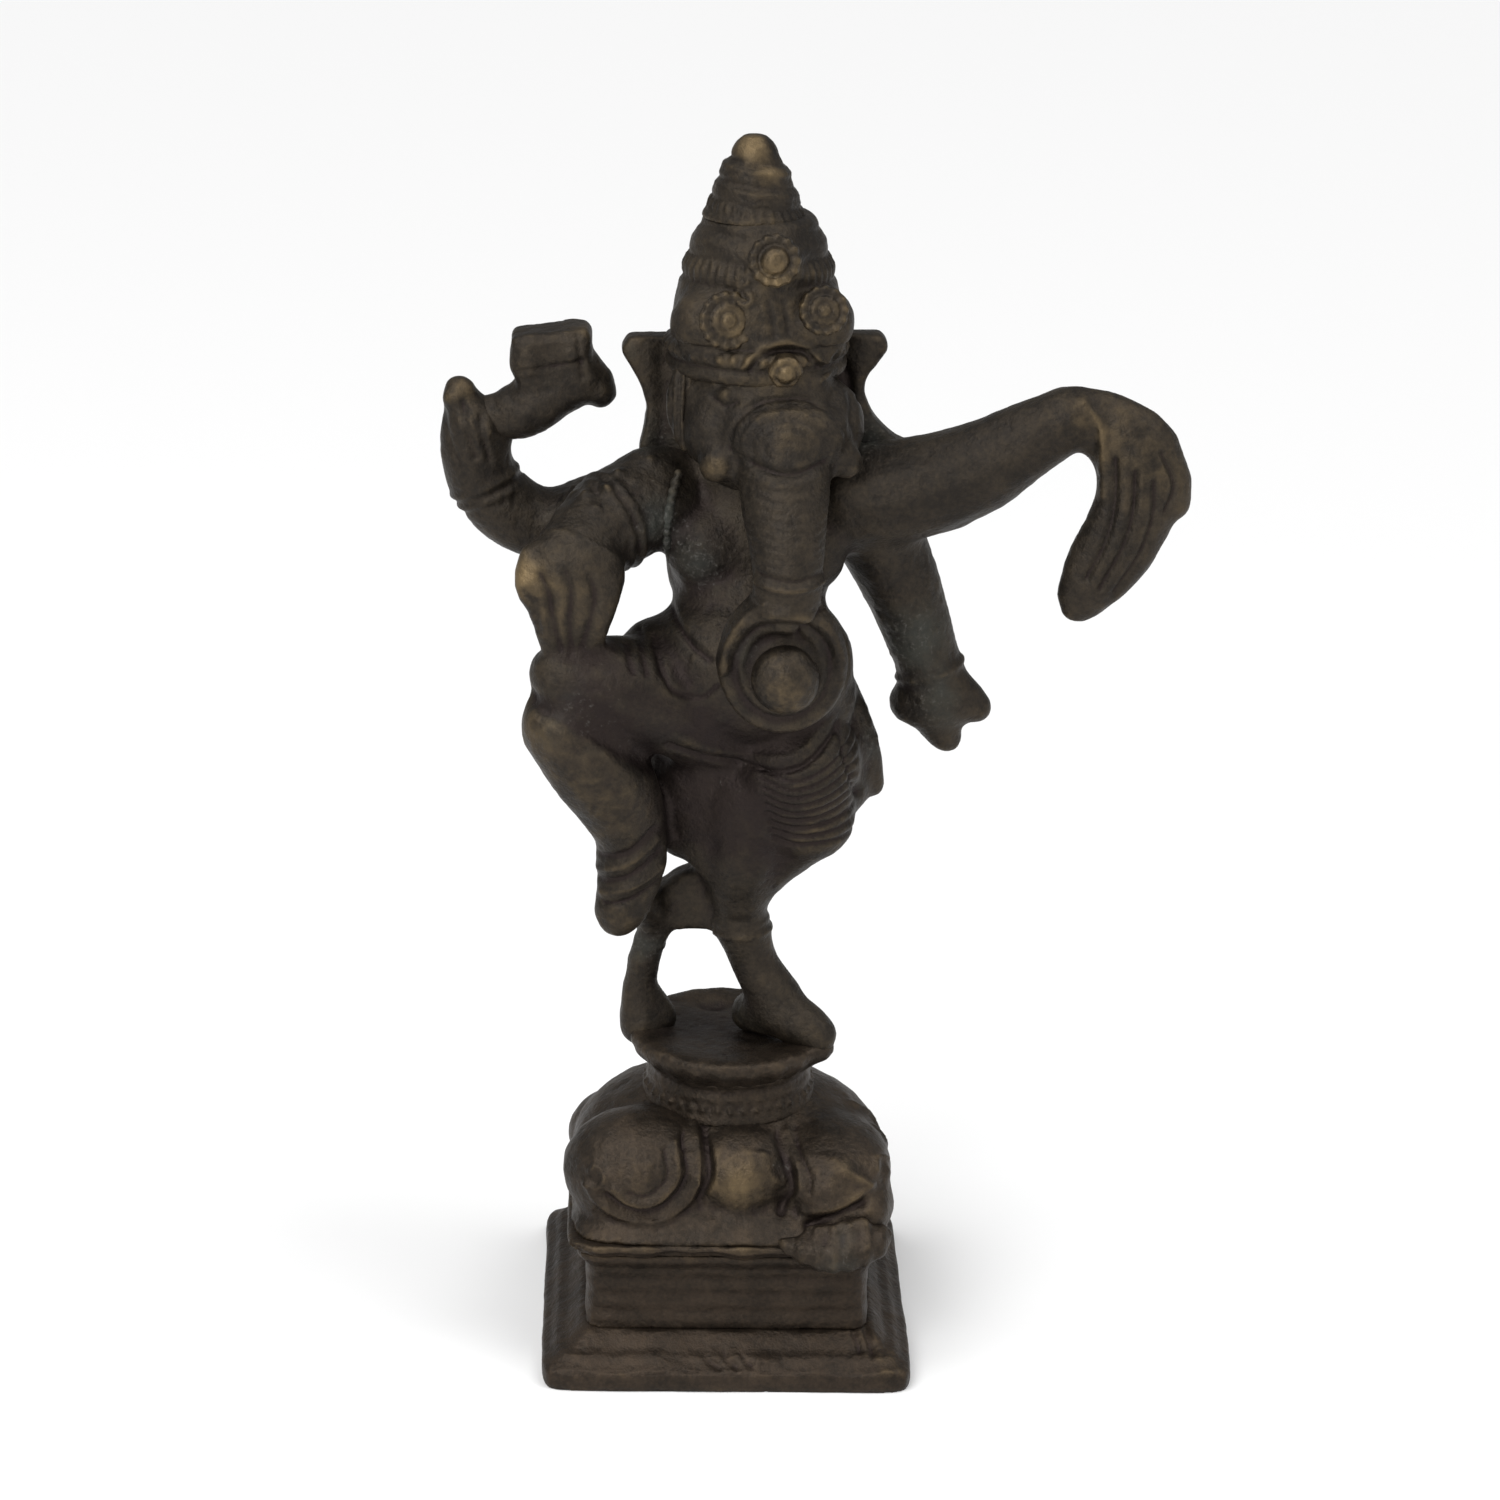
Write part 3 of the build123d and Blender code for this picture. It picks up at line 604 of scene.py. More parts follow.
def carveFoot(points, normals):
    front = normals[:, 1] < -0.3
    chisel = [
        ([(18.6, 7.2), (19.4, 5.2)], 0.4, -0.5), ([(20.4, 7), (21.2, 5)], 0.4, -0.5),
        ([(21.6, 6.2), (22.8, 5.6)], 0.7, 0.35), ([(-3, 4.4), (-1.2, 3.6)], 0.45, -0.45),
        ([(-0.4, 4.6), (1.4, 3.6)], 0.5, -0.5), ([(2.2, 4.6), (3.4, 3.8)], 0.4, -0.4),
        ([(4.6, 4.2), (7.5, 3.9)], 0.5, 0.3), ([(-9, 4.6), (-5, 4.2)], 0.5, -0.25)]
    ripple = plinthFoot["ripple"] * np.sin(points[:, 0] * 0.55 + 1.1) * front
    return engrave(points, normals, chisel) + ripple * (points[:, 2] > 3)


shapePiece("plinthFoot", clay, plinthFoot, carveFoot, "pedestal_brass", ["base_slab"])

plinthNeck = {"voxel": 0.42, "finish": 3, "rough": 0.8, "corner": 1.4, "bands": 0.16}
clay = newClay()
squared(clay, [(19, 6.9), (21, 7), (20.8, 8), (20.6, 11.5), (20.7, 15), (21, 16.9), (21.7, 17.8),
    (22.2, 18.5), (22.2, 19.62), (20, 19.62)], plinthNeck["corner"])


def carveNeck(points, normals):
    bands = plinthNeck["bands"] * np.sin(points[:, 2] * 2.4) * (points[:, 2] < 18)
    return bands * (np.abs(normals[:, 2]) < 0.5) * (0.6 + 0.4 * grain(points, 8, 9))


shapePiece("plinthNeck", clay, plinthNeck, carveNeck, "pedestal_brass", ["pedestal_neck"])

plinthTop = {"voxel": 0.34, "finish": 1, "rough": 0.7, "rub": 0.1, "corner": 1.6, "wave": 0.25,
    "ripple": 0.15}
clay = newClay()
squared(clay, [(21.5, 19.6), (22.5, 19.62), (22.8, 20.3), (23.5, 20.7), (23.65, 21.2), (23.2, 21.6),
    (21, 21.6)], plinthTop["corner"])


def carveTop(points, normals):
    x = points[:, 0]
    wavy = plinthTop["wave"] * np.sin(x * 0.35 + 0.6) + plinthTop["ripple"] * np.sin(x * 0.9)
    return wavy * (normals[:, 1] < -0.4)


shapePiece("plinthTop", clay, plinthTop, carveTop, "pedestal_brass", ["pedestal_top_slab"])
print("pedestal done")


mouse = {"voxel": 0.40, "softness": 3, "finish": 3, "flatFoot": 21.62, "fur": 0.03,
    "haunch": (-13, -12.4, 29.2), "flank": (1.6, -13.2, 29.3), "head": (14.6, -9.5, 28.2)}

clay = newClay()
press(clay, "mouse", (0, 1, 27, 23.4, 19.6, 12.5), (*mouse["haunch"], 11.6, 9.6, 9.2),
    (*mouse["flank"], 8.4, 7.6, 7.2), (*mouse["head"], 9.7, 12, 7.7), (-14.2, 9.5, 24.6, 9.8, 9.5, 6.2),
    (-17.6, 10.5, 25.4, 5.6, 6, 5.2), (14, 7.5, 25.2, 9.6, 10.6, 6), (0, 0, 32.6, 16.2, 15, 6.8),
    (20, -14, 25, 4.6, 7.4, 4.6))
squared(clay, [(23.4, 21.4), (23.3, 22), (22, 23), (20.6, 24.6), (17, 26)], 3)


def carveMouse(points, normals):
    lines = [
        ([(-5.2, 36), (-4.6, 31.6), (-6.2, 27.4), (-10.2, 24.6), (-15, 25), (-19, 27.4), (-20.8, 29.8)],
         0.6, 0.6, -30, -8),
        ([(-6.8, 36), (-6.2, 31.6), (-7.8, 28.2), (-11, 26.2), (-15, 26.6), (-18, 28.6)], 0.55, -0.9, -30,
         -8),
        ([(-8.2, 35.6), (-7.7, 31.8), (-9.2, 29.2), (-11.8, 27.6), (-14.8, 28), (-17, 29.8)], 0.5, 0.55,
         -30, -8),
        ([(-9.6, 35.2), (-9.1, 32), (-10.5, 30), (-12.6, 28.9), (-14.6, 29.4)], 0.4, -0.4, -30, -8),
        ([(-3.6, 35.6), (-3.1, 31.4), (-4.3, 27.4)], 0.5, -0.5, -30, -8),
        ([(-2.2, 34.6), (-1.9, 31.4), (-2.8, 28.4)], 0.4, 0.2, -30, -8),
        ([(-20.4, 31.6), (-19.2, 32.6), (-18.2, 31.2), (-19.2, 29.6), (-20.6, 29.8)], 0.45, 0.55, -30, -5),
        ([(6.9, 35), (8.4, 31.8), (8.8, 28.6), (7.4, 25.6)], 0.5, -0.5, -30, -8),
        ([(8.4, 35), (9.9, 31.8), (10.1, 29), (8.9, 26.6)], 0.5, 0.4, -30, -8),
        ([(9.9, 34), (11.4, 31.5), (11.5, 29.2)], 0.4, -0.4, -30, -8),
        ([(11.2, 24.3), (13.6, 24.9), (16.4, 26), (19.4, 27.6)], 0.6, -0.9, -30, -8),
        ([(10.8, 25.9), (13.4, 26.6), (16.4, 27.7), (20, 29.3)], 0.7, 0.45, -30, -8)]
    fur = mouse["fur"] * np.sin(points[:, 0] * 3.1 + 2 * grain(points, 3, 6)) * (normals[:, 1] < -0.2)
    face = [
        ([(-13.5, 25.6), (-9.5, 24.4), (-5, 25.4)], 0.6, -0.8), ([(-9.5, 24.6), (-9.4, 28.5)], 0.5, -0.4),
        ([(-16.6, 31), (-14.6, 32.2), (-12.6, 31)], 0.5, 0.5),
        ([(-6.6, 31), (-4.6, 32.2), (-2.6, 31)], 0.5, 0.5),
        ([(-18, 34), (-19.4, 31.6), (-18.6, 29.6)], 0.6, 0.5),
        ([(-0.6, 34), (1, 31.6), (0.2, 29.6)], 0.6, 0.5),
        ([(4, 23.6), (6.5, 28), (11, 29.5), (15, 26.5)], 0.7, -0.7)]
    eyes = spots(points, [(22.6, -14.4, 29.6, 1.3, 0.8), (22.8, -4.6, 29.6, 1.3, 0.8)])
    return engrave(points, normals, lines) + engrave(points, normals, face, (1, 0, 0)) + eyes + fur


shapePiece("mouse", clay, mouse, carveMouse, "mount_brass",
    ["mouse_body", "mouse_haunch_near", "mouse_haunch_far", "mouse_head"])

mousePaw = {"voxel": 0.34, "softness": 2, "rough": 1.4, "green": 0.05, "toes": 0.14}
clay = newClay()
press(clay, "mousePaw", [(7.4, -22.4, 22, 1.2), (10.4, -22.9, 21.2, 2.1), (13.6, -23.1, 20.7, 2.8),
    (17, -22.9, 20.7, 2.9), (20.2, -22, 21.4, 2.7), (22, -20.4, 22.2, 2.2)], [(11.6, -21.4, 23.4, 1.2),
    (15.4, -22.2, 23.8, 1.4), (19.4, -21.6, 24.8, 1.3)])


def carvePaw(points, normals):
    return mousePaw["toes"] * np.sin(points[:, 0] * 2.6) * (normals[:, 1] < -0.2)


shapePiece("mousePaw", clay, mousePaw, carvePaw, "mount_brass", ["mouse_paw"])

collar = {"voxel": 0.34, "rough": 0.9, "beads": 40, "beadRing": 12.45, "beadHeight": 38.2, "beadSize": 0.52}
clay = newClay()
turned(clay, [(0, 36), (13.2, 36), (12.9, 36.9), (12.5, 37.8), (12.1, 38.9), (12.3, 39.7), (12, 40.3),
    (11.8, 40.9), (12, 41.6), (12.4, 42.3), (11, 42.9), (0, 42.9)])
for k in range(collar["beads"]):
    a, ring = math.tau * k / collar["beads"], collar["beadRing"]
    at = (ring * math.cos(a), ring * math.sin(a), collar["beadHeight"])
    lump(clay, "collar", at, collar["beadSize"], steps=2)
shapePiece("saddleCollar", clay, collar, None, "mount_brass", ["saddle_collar"])

seat = {"voxel": 0.38, "softness": 4, "finish": 3, "rough": 1.2, "petals": 22, "petalDepth": 0.10, "pit": 1.3}
clay = newClay()
turned(clay, [(0, 41.4), (11.6, 41.4), (12.6, 42.2), (14, 43.5), (15, 44.9), (15.1, 45.9), (14.5, 46.6),
    (13.3, 46.8), (11.6, 46.5), (7, 45.9), (0, 45.6)])
press(clay, "seat", (12.4, -5.6, 45.6, 3.2, 3, 2.2), (-12.4, 1.5, 46.8, 3.4, 3.4, 2.2))


def carveSeat(points, normals):
    pit = -seat["pit"] * np.exp(-(((points - (-2.4, 9, 46)) / (2.6, 1.7, 4)) ** 2).sum(1))
    petals = seat["petalDepth"] * np.sin(np.arctan2(points[:, 1], points[:, 0]) * seat["petals"])
    return pit * (normals[:, 2] > 0.3) + petals * (points[:, 2] < 45) * (normals[:, 2] < 0.2)


shapePiece("lotusSeat", clay, seat, carveSeat, "mount_brass", ["lotus_seat"])
print("mouse and seat done")


# The figure is one fused skin, parted afterwards, and so is the head.
figure = {"voxel": 0.36, "softness": 5, "finish": 3, "rough": 0.9, "crust": 0.5}
clay = newClay()
# standing foot and leg
press(clay, "standingFoot", [(3.2, 0.6, 48.6, 3.4), (6.5, -2.8, 50.2, 4.1), (9.8, -4.4, 49.2, 3.8),
    (12.8, -5.6, 47.6, 3.1)], [(7, -2.9, 51.8, 4.1), (4.8, -2.2, 55, 3.8), (3.2, -1.8, 58, 3.6),
    (2.3, -1.8, 60.6, 3.9)])
press(clay, "standingCalf", [(1.7, -1.8, 62.6, 4.3), (1, -1.9, 66, 4), (1.9, -2.6, 71.2, 4.9),
    (6.6, -4, 77, 5.4), (11, -6, 82, 6.1)])
# drapery over the hips and the standing thigh
press(clay, "hips", (-0.6, -1.5, 86.5, 13.4, 9, 13.4), (8.4, -5.6, 90, 9.6, 9.6, 9.8),
    (10.2, -5.8, 82.6, 7.2, 6.8, 7.2), (10.6, -0.5, 90, 8.8, 7, 8.6), (1, 0.8, 77, 9, 5, 5.2),
    (3, -4.6, 84.6, 9.4, 8.2, 9.6), (14.6, -1.4, 85.6, 5, 5, 5.4), (-6.2, -1.6, 80, 6.4, 5.6, 6.2),
    [(2, -5.2, 80.5, 6.8), (1.5, -4.8, 76, 6), (0.9, -3.8, 71.6, 4.9), (1.2, -2.6, 67.6, 4.1)],
    [(-3.6, -3.2, 78.6, 5.6), (-0.6, -3.2, 74.4, 5), (1.4, -2.6, 70, 4.4)])
press(clay, "clothTail", [(14.4, 0, 100, 2.8), (16.6, 0.2, 95, 2.9), (18.6, 0.5, 89.5, 2.7),
    (20, 0.4, 84.6, 1.9)])
# cast supports behind the leg
press(clay, "sashSupport", [(-12.8, 0.8, 46.6, 3.9), (-13.4, 0.9, 50, 3.1), (-13.2, 0.8, 54.5, 2.6),
    (-12.2, 0.4, 59.6, 2.6), (-10.8, 0, 63.6, 2.9)])
plate(clay, "sashSupport", [(-11.8, 62.2), (-8, 62.4), (-3, 62.6), (1.5, 62.6), (2.5, 66), (1, 72.5),
    (-3.6, 73.4), (-6.2, 72), (-8.6, 71), (-10.6, 69.4), (-13, 68.8)], -2.4, 2.4)
press(clay, "sashSupport", [(-11.8, 1.2, 50.4, 2.5), (-10.2, 1.4, 47.2, 2.8)], [(-11.4, -0.6, 64.4, 2.8),
    (-12.8, -4, 67.6, 2.8), (-14.6, -7, 69.5, 2.6)])
# raised leg
press(clay, "raisedThigh", [(-3, -4, 97, 9.2), (-10, -8, 100.5, 8.6), (-18, -11, 103.5, 7.3),
    (-24.9, -12.4, 105.4, 5.2)])
press(clay, "raisedShin", [(-24.5, -13.2, 98.2, 6.7), (-20.4, -12.6, 92.4, 7.2), (-17.2, -11, 86.8, 6.6),
    (-15.2, -9.6, 81, 5.3), (-15, -9.3, 77.6, 5.5), (-15.2, -9.2, 74.6, 5.2)])
press(clay, "raisedFoot", [(-15.4, -9.5, 73, 4.6), (-16.2, -10.2, 70.2, 4.4), (-16.8, -10.6, 68.6, 3.6)])
# trunk of the body
press(clay, "belly", (1.2, -4.6, 105, 15.3, 12.6, 11.8), (-10.6, -5, 105.6, 7, 6.4, 6.2),
    [(-11.5, -5, 106, 5), (-16, -7.6, 104.6, 4.6)], (9.6, -3, 100, 7.4, 7.6, 7.6),
    (1.2, -3, 113.2, 11, 7.8, 7.4))
press(clay, "chest", (1.3, 0, 120, 12.2, 8.2, 14), (-4.6, -4.4, 121.4, 6.2, 4.2, 6.2),
    (9, -4.4, 121.4, 5.8, 4.2, 6), (2, 0.5, 132, 10, 6.5, 6.5), (-8.6, 3.6, 130.6, 7.2, 5, 4.6),
    (13, 3.8, 131, 9.6, 5, 5), (-12.6, -0.8, 128.2, 7.4, 6.6, 7.4), (15, 0, 128, 7.6, 6.8, 7.6))
# front right arm, bent forward, its hand hanging on the knee
press(clay, "frontRightArm", [(-13.5, -1.4, 127.7, 7.2), (-17.6, -3.6, 126, 7.3), (-21, -7, 124.2, 6.6),
    (-23.2, -10.4, 122.6, 5.9)])
press(clay, "frontRightHand", (-23.7, -12.6, 120.6, 7.5, 4.8, 6.6))
for top, low, r in ((-28.6, -26.6, 2.1), (-25.2, -24.6, 2.3), (-21.8, -22.8, 2.3), (-18.8, -21, 2.1)):
    limb(clay, "frontRightHand", [(top, -14, 119.5, r + 0.3), ((top + low) / 2, -14.8, 114.8, r),
                                  (low, -14, 110.4, r - 0.4)])
press(clay, "frontRightHand", [(-29.6, -13.4, 123.2, 1.9), (-30.2, -14.6, 120, 1.9),
    (-29.4, -15, 117.4, 1.7)])
# rear right arm, raised with the axe
press(clay, "rearRightArm", [(-13, 2.6, 126.6, 6.8), (-20.5, 4.4, 123.8, 6.3), (-27, 5, 122, 5.4),
    (-32.6, 5, 124, 5.5), (-36.2, 4.5, 128.2, 5.3), (-37.8, 4, 132.6, 5.2), (-38, 3.6, 136.8, 5)],
    [(-34.6, 3.4, 133.8, 2.2), (-34.2, 3, 137, 2.2)], [(-39.4, 3.2, 139.5, 3.1), (-40, 3, 142, 2.6)])
# front left arm, swung out with its hand hanging
press(clay, "frontLeftArm", [(15, 0, 128.4, 7.8), (22, -0.6, 129.6, 7.8), (28, -1.2, 131.2, 7.4),
    (34, -2.2, 134.2, 6.6), (40, -3.2, 138.2, 5.5), (45.4, -4, 141.6, 4.7)])
limb(clay, "frontLeftHand", [(46.4, -4.2, 141.8, 4.6), (50.8, -5, 140.6, 5.3), (55, -5.8, 136.6, 6.5),
    (55.3, -6.4, 131, 6.4), (53.2, -6.9, 125.4, 6.1), (50.6, -7.2, 121, 5.6), (48.6, -7.5, 117.4, 4.3),
    (47.6, -7.7, 115.4, 3.1)], flat=0.62)
press(clay, "frontLeftHand", [(56.4, -5.4, 138, 3.9), (59.6, -6, 133.8, 3.2), (60.4, -6.6, 130.2, 2.5)])
# rear left arm, lowered, its fist on a broken stub
press(clay, "rearLeftArm", [(17.6, 2.4, 127, 7.4), (21.2, 3.8, 119, 6.3), (24.4, 4.5, 111.4, 5.6),
    (27.2, 5, 103.6, 5), (28.4, 5, 100.4, 5)])
press(clay, "rearLeftFist", (28.8, 4.8, 96.6, 6.2, 5, 5), (25.2, 4.6, 96, 3.2, 3.4, 3.2),
    [(31.4, 4.2, 97.6, 3.8), (34.8, 4.2, 95.6, 2.6)], [(29.2, 4.4, 93.4, 3.2), (30.8, 4.4, 90.8, 2.5)])


def carveFigure(points, normals):
    front, hip = (-40, -2), (-40, -4)
    lines = [
        # creases where belly and thigh meet
        ([(-9.6, 113), (-7, 110.4), (-4.6, 109)], 0.55, -0.5, *front),
        ([(-11.5, 108.5), (-9.6, 104.6), (-5.8, 103.4), (-3.4, 105.5)], 0.36, -0.45, *front),
        ([(-16.2, 110.4), (-15.2, 107.4)], 0.5, -0.3, *front),
        ([(-14.2, 110.4), (-13.2, 107)], 0.5, -0.3, *front),
        ([(-12.2, 110.2), (-11.2, 106.6)], 0.45, -0.25, *front),
        # lower edge of the belly and its sash
        ([(-9, 97.8), (-4, 95), (2, 93.6), (8, 94.4), (12.6, 98.2)], 0.7, 0.35, *front),
        ([(-10, 96), (-4.4, 93.2), (2, 91.9), (8.6, 92.8), (13.6, 96.8)], 0.5, -0.7, *front),
        # pleats sweeping round the standing thigh
        *[([(3.0 + 0.25 * k, 92.0 - 1.35 * k), (8, 90.8 - 1.35 * k), (13, 92.8 - 1.55 * k),
         (16.8, 95.8 - 1.85 * k)], 0.36, -0.42, *hip) for k in range(9)],
        ([(14, 97.6), (16, 91), (17.6, 85.6)], 0.5, -0.6, *front),
        # folds of the cuff on the raised shin
        ([(-19.6, 78.2), (-15.6, 79.6), (-11.8, 83)], 0.5, -0.5, *hip),
        ([(-19.6, 76), (-15.4, 77.8), (-11.4, 81.2)], 0.55, 0.5, *hip),
        ([(-19.6, 74.2), (-15.4, 75.8), (-11, 79)], 0.5, -0.55, *hip),
        ([(-19.2, 72.6), (-15, 74), (-10.8, 76.6)], 0.5, 0.5, *hip),
        ([(-19, 71.2), (-15, 72.2), (-11, 74.2)], 0.42, -0.6, *hip),
        # long hollow between thigh and shin
        ([(-29.6, 102.6), (-24, 101), (-18, 97.2), (-11, 91.6)], 1.3, -0.9, *hip),
        # fingers of the hand on the knee
        ([(-28.2, 121.4), (-26.9, 118.5), (-26.4, 115), (-25.3, 110.6)], 0.6, -0.5, *hip),
        ([(-24.6, 122), (-23.9, 119), (-24.1, 115), (-23.8, 110.2)], 0.6, -0.5, *hip),
        ([(-21.2, 121.5), (-20.6, 118.5), (-21.2, 115), (-22.4, 110.6)], 0.6, -0.45, *hip),
        ([(-30.4, 119), (-28.8, 117.2), (-28.4, 113)], 0.5, -0.4, *hip),
        # fingers and wrist of the hanging hand
        ([(51.4, 137), (51.6, 131), (50.6, 125.5), (48.2, 120)], 0.5, -0.55, *front),
        ([(54.2, 135.4), (54.2, 130), (53, 124.5), (50.2, 118.5)], 0.5, -0.65, *front),
        ([(57, 134), (57.2, 129.5), (55.8, 124), (52.4, 118)], 0.5, -0.55, *front),
        ([(46.8, 144.5), (49.4, 141), (50, 135.4), (50.2, 131.5)], 0.7, 0.55, *front),
        ([(58, 138), (60, 133.5), (58.8, 129.6)], 0.45, -0.5, *front),
        # fingers of the raised hand round the axe
        ([(-39.4, 141), (-38.9, 137.6), (-37.6, 133.6)], 0.5, -0.45, -10, 4),
        ([(-36.9, 139.4), (-36.6, 136.6), (-35.6, 133.2)], 0.5, -0.45, -10, 4),
        ([(-42.2, 139.4), (-41.6, 136), (-40, 132.6)], 0.5, -0.35, -10, 4)]
    move = engrave(points, normals, lines)
    # spine, belt and pleats seen from behind
    behind = [
        ([(2.4, 130), (1.6, 120), (1.2, 110), (1.2, 102.5)], 1.1, -0.6),
        ([(-13, 100.8), (-5, 98.6), (5, 98.6), (15, 101)], 0.9, 0.5),
        ([(-13, 99), (-5, 96.8), (5, 96.8), (15, 99.2)], 0.5, -0.5),
        *[([(-9.0 + 2.7 * k, 96), (-8.2 + 2.5 * k, 89), (-5.4 + 1.9 * k, 79.5)], 0.45, -0.45, 1, 30)
          for k in range(8)],
        ([(52, 137), (51.6, 129), (49.4, 120)], 0.5, -0.4),
        ([(55.6, 135), (55, 128), (52, 119)], 0.5, -0.4)]
    move += engrave(points, normals, behind, (0, 1, 0))
    for shift, height in ((0, 0.28), (1.3, -0.22), (2.4, 0.25), (3.5, -0.2)):
        move += hoop(points, (-36.6 - shift * 0.3, 4.4, 128.6 - shift), (-0.45, 0, 1), 6.5, 0.55, height)
    # bracelets and armlets are (centre, axis, reach, height)
    bands = [
        ((-24, -11.6, 124.6), (-0.4, -0.6, -0.8), 8, 0.2), ((-18.2, -4.6, 127), (-0.8, -0.6, -0.25), 9.5, 0.45),
        ((-19.6, -5.7, 126.6), (-0.8, -0.6, -0.25), 9.5, 0.35), ((2.2, -1.8, 63), (-0.1, 0, 1), 5, 0.35),
        ((1.9, -1.8, 64.6), (-0.1, 0, 1), 5, 0.25), ((27.6, 5, 101.2), (0.3, 0, -1), 6.5, 0.45)]
    for centre, axis, reach, height in bands:
        move += hoop(points, centre, axis, reach, 0.6, height)
    # spikes of the armlet, knuckles and toes
    studs = [(-23.4, -5.4, 129, 1, 1), (-13, -4, 134.8, 1.2, 0.5), (-41.2, 1.6, 141.6, 1.1, 0.7),
        (-39, -0.6, 138.4, 1.3, 0.5), (-36, -0.6, 137.4, 1.2, 0.5), (-17.6, -5.5, 133.2, 0.9, 0.9),
        (-19, -8, 131.2, 0.9, 0.8), (-20.6, -10.2, 128.8, 0.9, 0.8), (-22.4, -12.6, 126.6, 0.9, 0.8),
        (-22, -8, 130.4, 0.8, 0.7), (-25, -15.4, 122.6, 1, 0.6), (-28.2, -15, 121.6, 1, 0.6),
        (-21.6, -15.6, 122, 1, 0.6), (-15, -6.6, 131.5, 1.2, 0.5)]
    move += spots(points, studs)
    crust = np.clip(grain(points, 1, 11) - 0.1, 0, 1) * np.clip(spots(points, greenPlaces), 0, 1)
    return move + figure["crust"] * crust


figureParts = {
    "standingFoot": ["standing_foot"], "standingCalf": ["standing_calf", "standing_anklet"],
    "hips": ["hips", "standing_thigh"], "clothTail": ["cloth_tail"],
    "sashSupport": ["cloth_web", "sash_strut_lower", "sash_strut_upper"],
    "raisedThigh": ["raised_thigh"], "raisedShin": ["raised_shin", "raised_cuff"],
    "raisedFoot": ["raised_foot"],
    "belly": ["belly", "belly_sash"], "chest": ["chest"],
    "frontRightArm": ["front_right_upper_arm", "front_right_forearm", "front_right_armlet"],
    "frontRightHand": ["front_right_hand"],
    "rearRightArm": ["rear_right_upper_arm", "rear_right_forearm", "rear_right_bracelet", "rear_right_hand"],
    "frontLeftArm": ["front_left_upper_arm", "front_left_forearm"],
    "frontLeftHand": ["front_left_palm", "front_left_fingers"],
    "rearLeftArm": ["rear_left_arm"], "rearLeftFist": ["rear_left_fist"]}
splitSkin(carvedSkin(clay, figure, carveFigure), clay, figureParts, "figure_brass")
print("figure parted")


head = {"voxel": 0.33, "softness": 3, "finish": 3, "rough": 0.7, "curl": (5.6, -15.4, 108.6),
    "brow": (5.7, -9.6, 140.2), "trunkCreases": 0.07}
clay = newClay()
press(clay, "skull", (2, -1.5, 143, 11.4, 10.4, 10.4), (3.6, -5.4, 146.5, 8.6, 6.2, 5.6),
    (-3.4, -5.2, 140, 5.8, 5.6, 6.6), (-6.2, -3.6, 142.6, 3.6, 4, 6.8), (11.2, -4.4, 140, 5.6, 5.6, 6.6),
    (2, -1, 134, 8.6, 6.4, 5.6), (*head["brow"], 9.4, 6, 5.6))
limb(clay, "trunk", [(5.5, -10.2, 138, 6.9), (5.4, -12.4, 133.4, 6.7), (5.6, -14.8, 129.4, 6),
    (5.9, -16.6, 125.6, 5.5), (6.1, -17.9, 121.8, 5.1), (5.8, -18.2, 118.6, 5)], flat=0.85)
press(clay, "trunkCurl", (*head["curl"], 8.9, 3.7, 9.9), [(3.4, -17.4, 117.6, 3.2),
    (-0.2, -17.2, 114.2, 2.5), (-1.8, -16.9, 109.6, 2.1)], [(8.2, -17, 116.8, 3), (11.6, -16.6, 113.4, 2.3),
    (13, -16.2, 109.4, 1.9)])
press(clay, "tuskLeft", (-3.6, -10.2, 136, 3, 2.8, 2.9), [(-3.6, -9.6, 136, 2.4), (-0.4, -9.8, 137, 2.4)])
press(clay, "tuskRight", (14, -9.2, 136.2, 2.6, 2.5, 2.5))
plate(clay, "earLeft", [(-6, 151), (-16.4, 150.8), (-17.6, 148.8), (-16.2, 146.4), (-14.5, 143.4),
    (-13.8, 140.4), (-14.2, 137), (-15, 133.6), (-7, 130)], 1, 5.4)
plate(clay, "earRight", [(9, 151.8), (19.2, 151.6), (20.2, 149.8), (18.6, 147.2), (17, 145), (16.9, 142.8),
    (18.2, 139.8), (21.2, 136.8), (25.6, 134.8), (24, 130), (9, 130)], 0.8, 5.6)


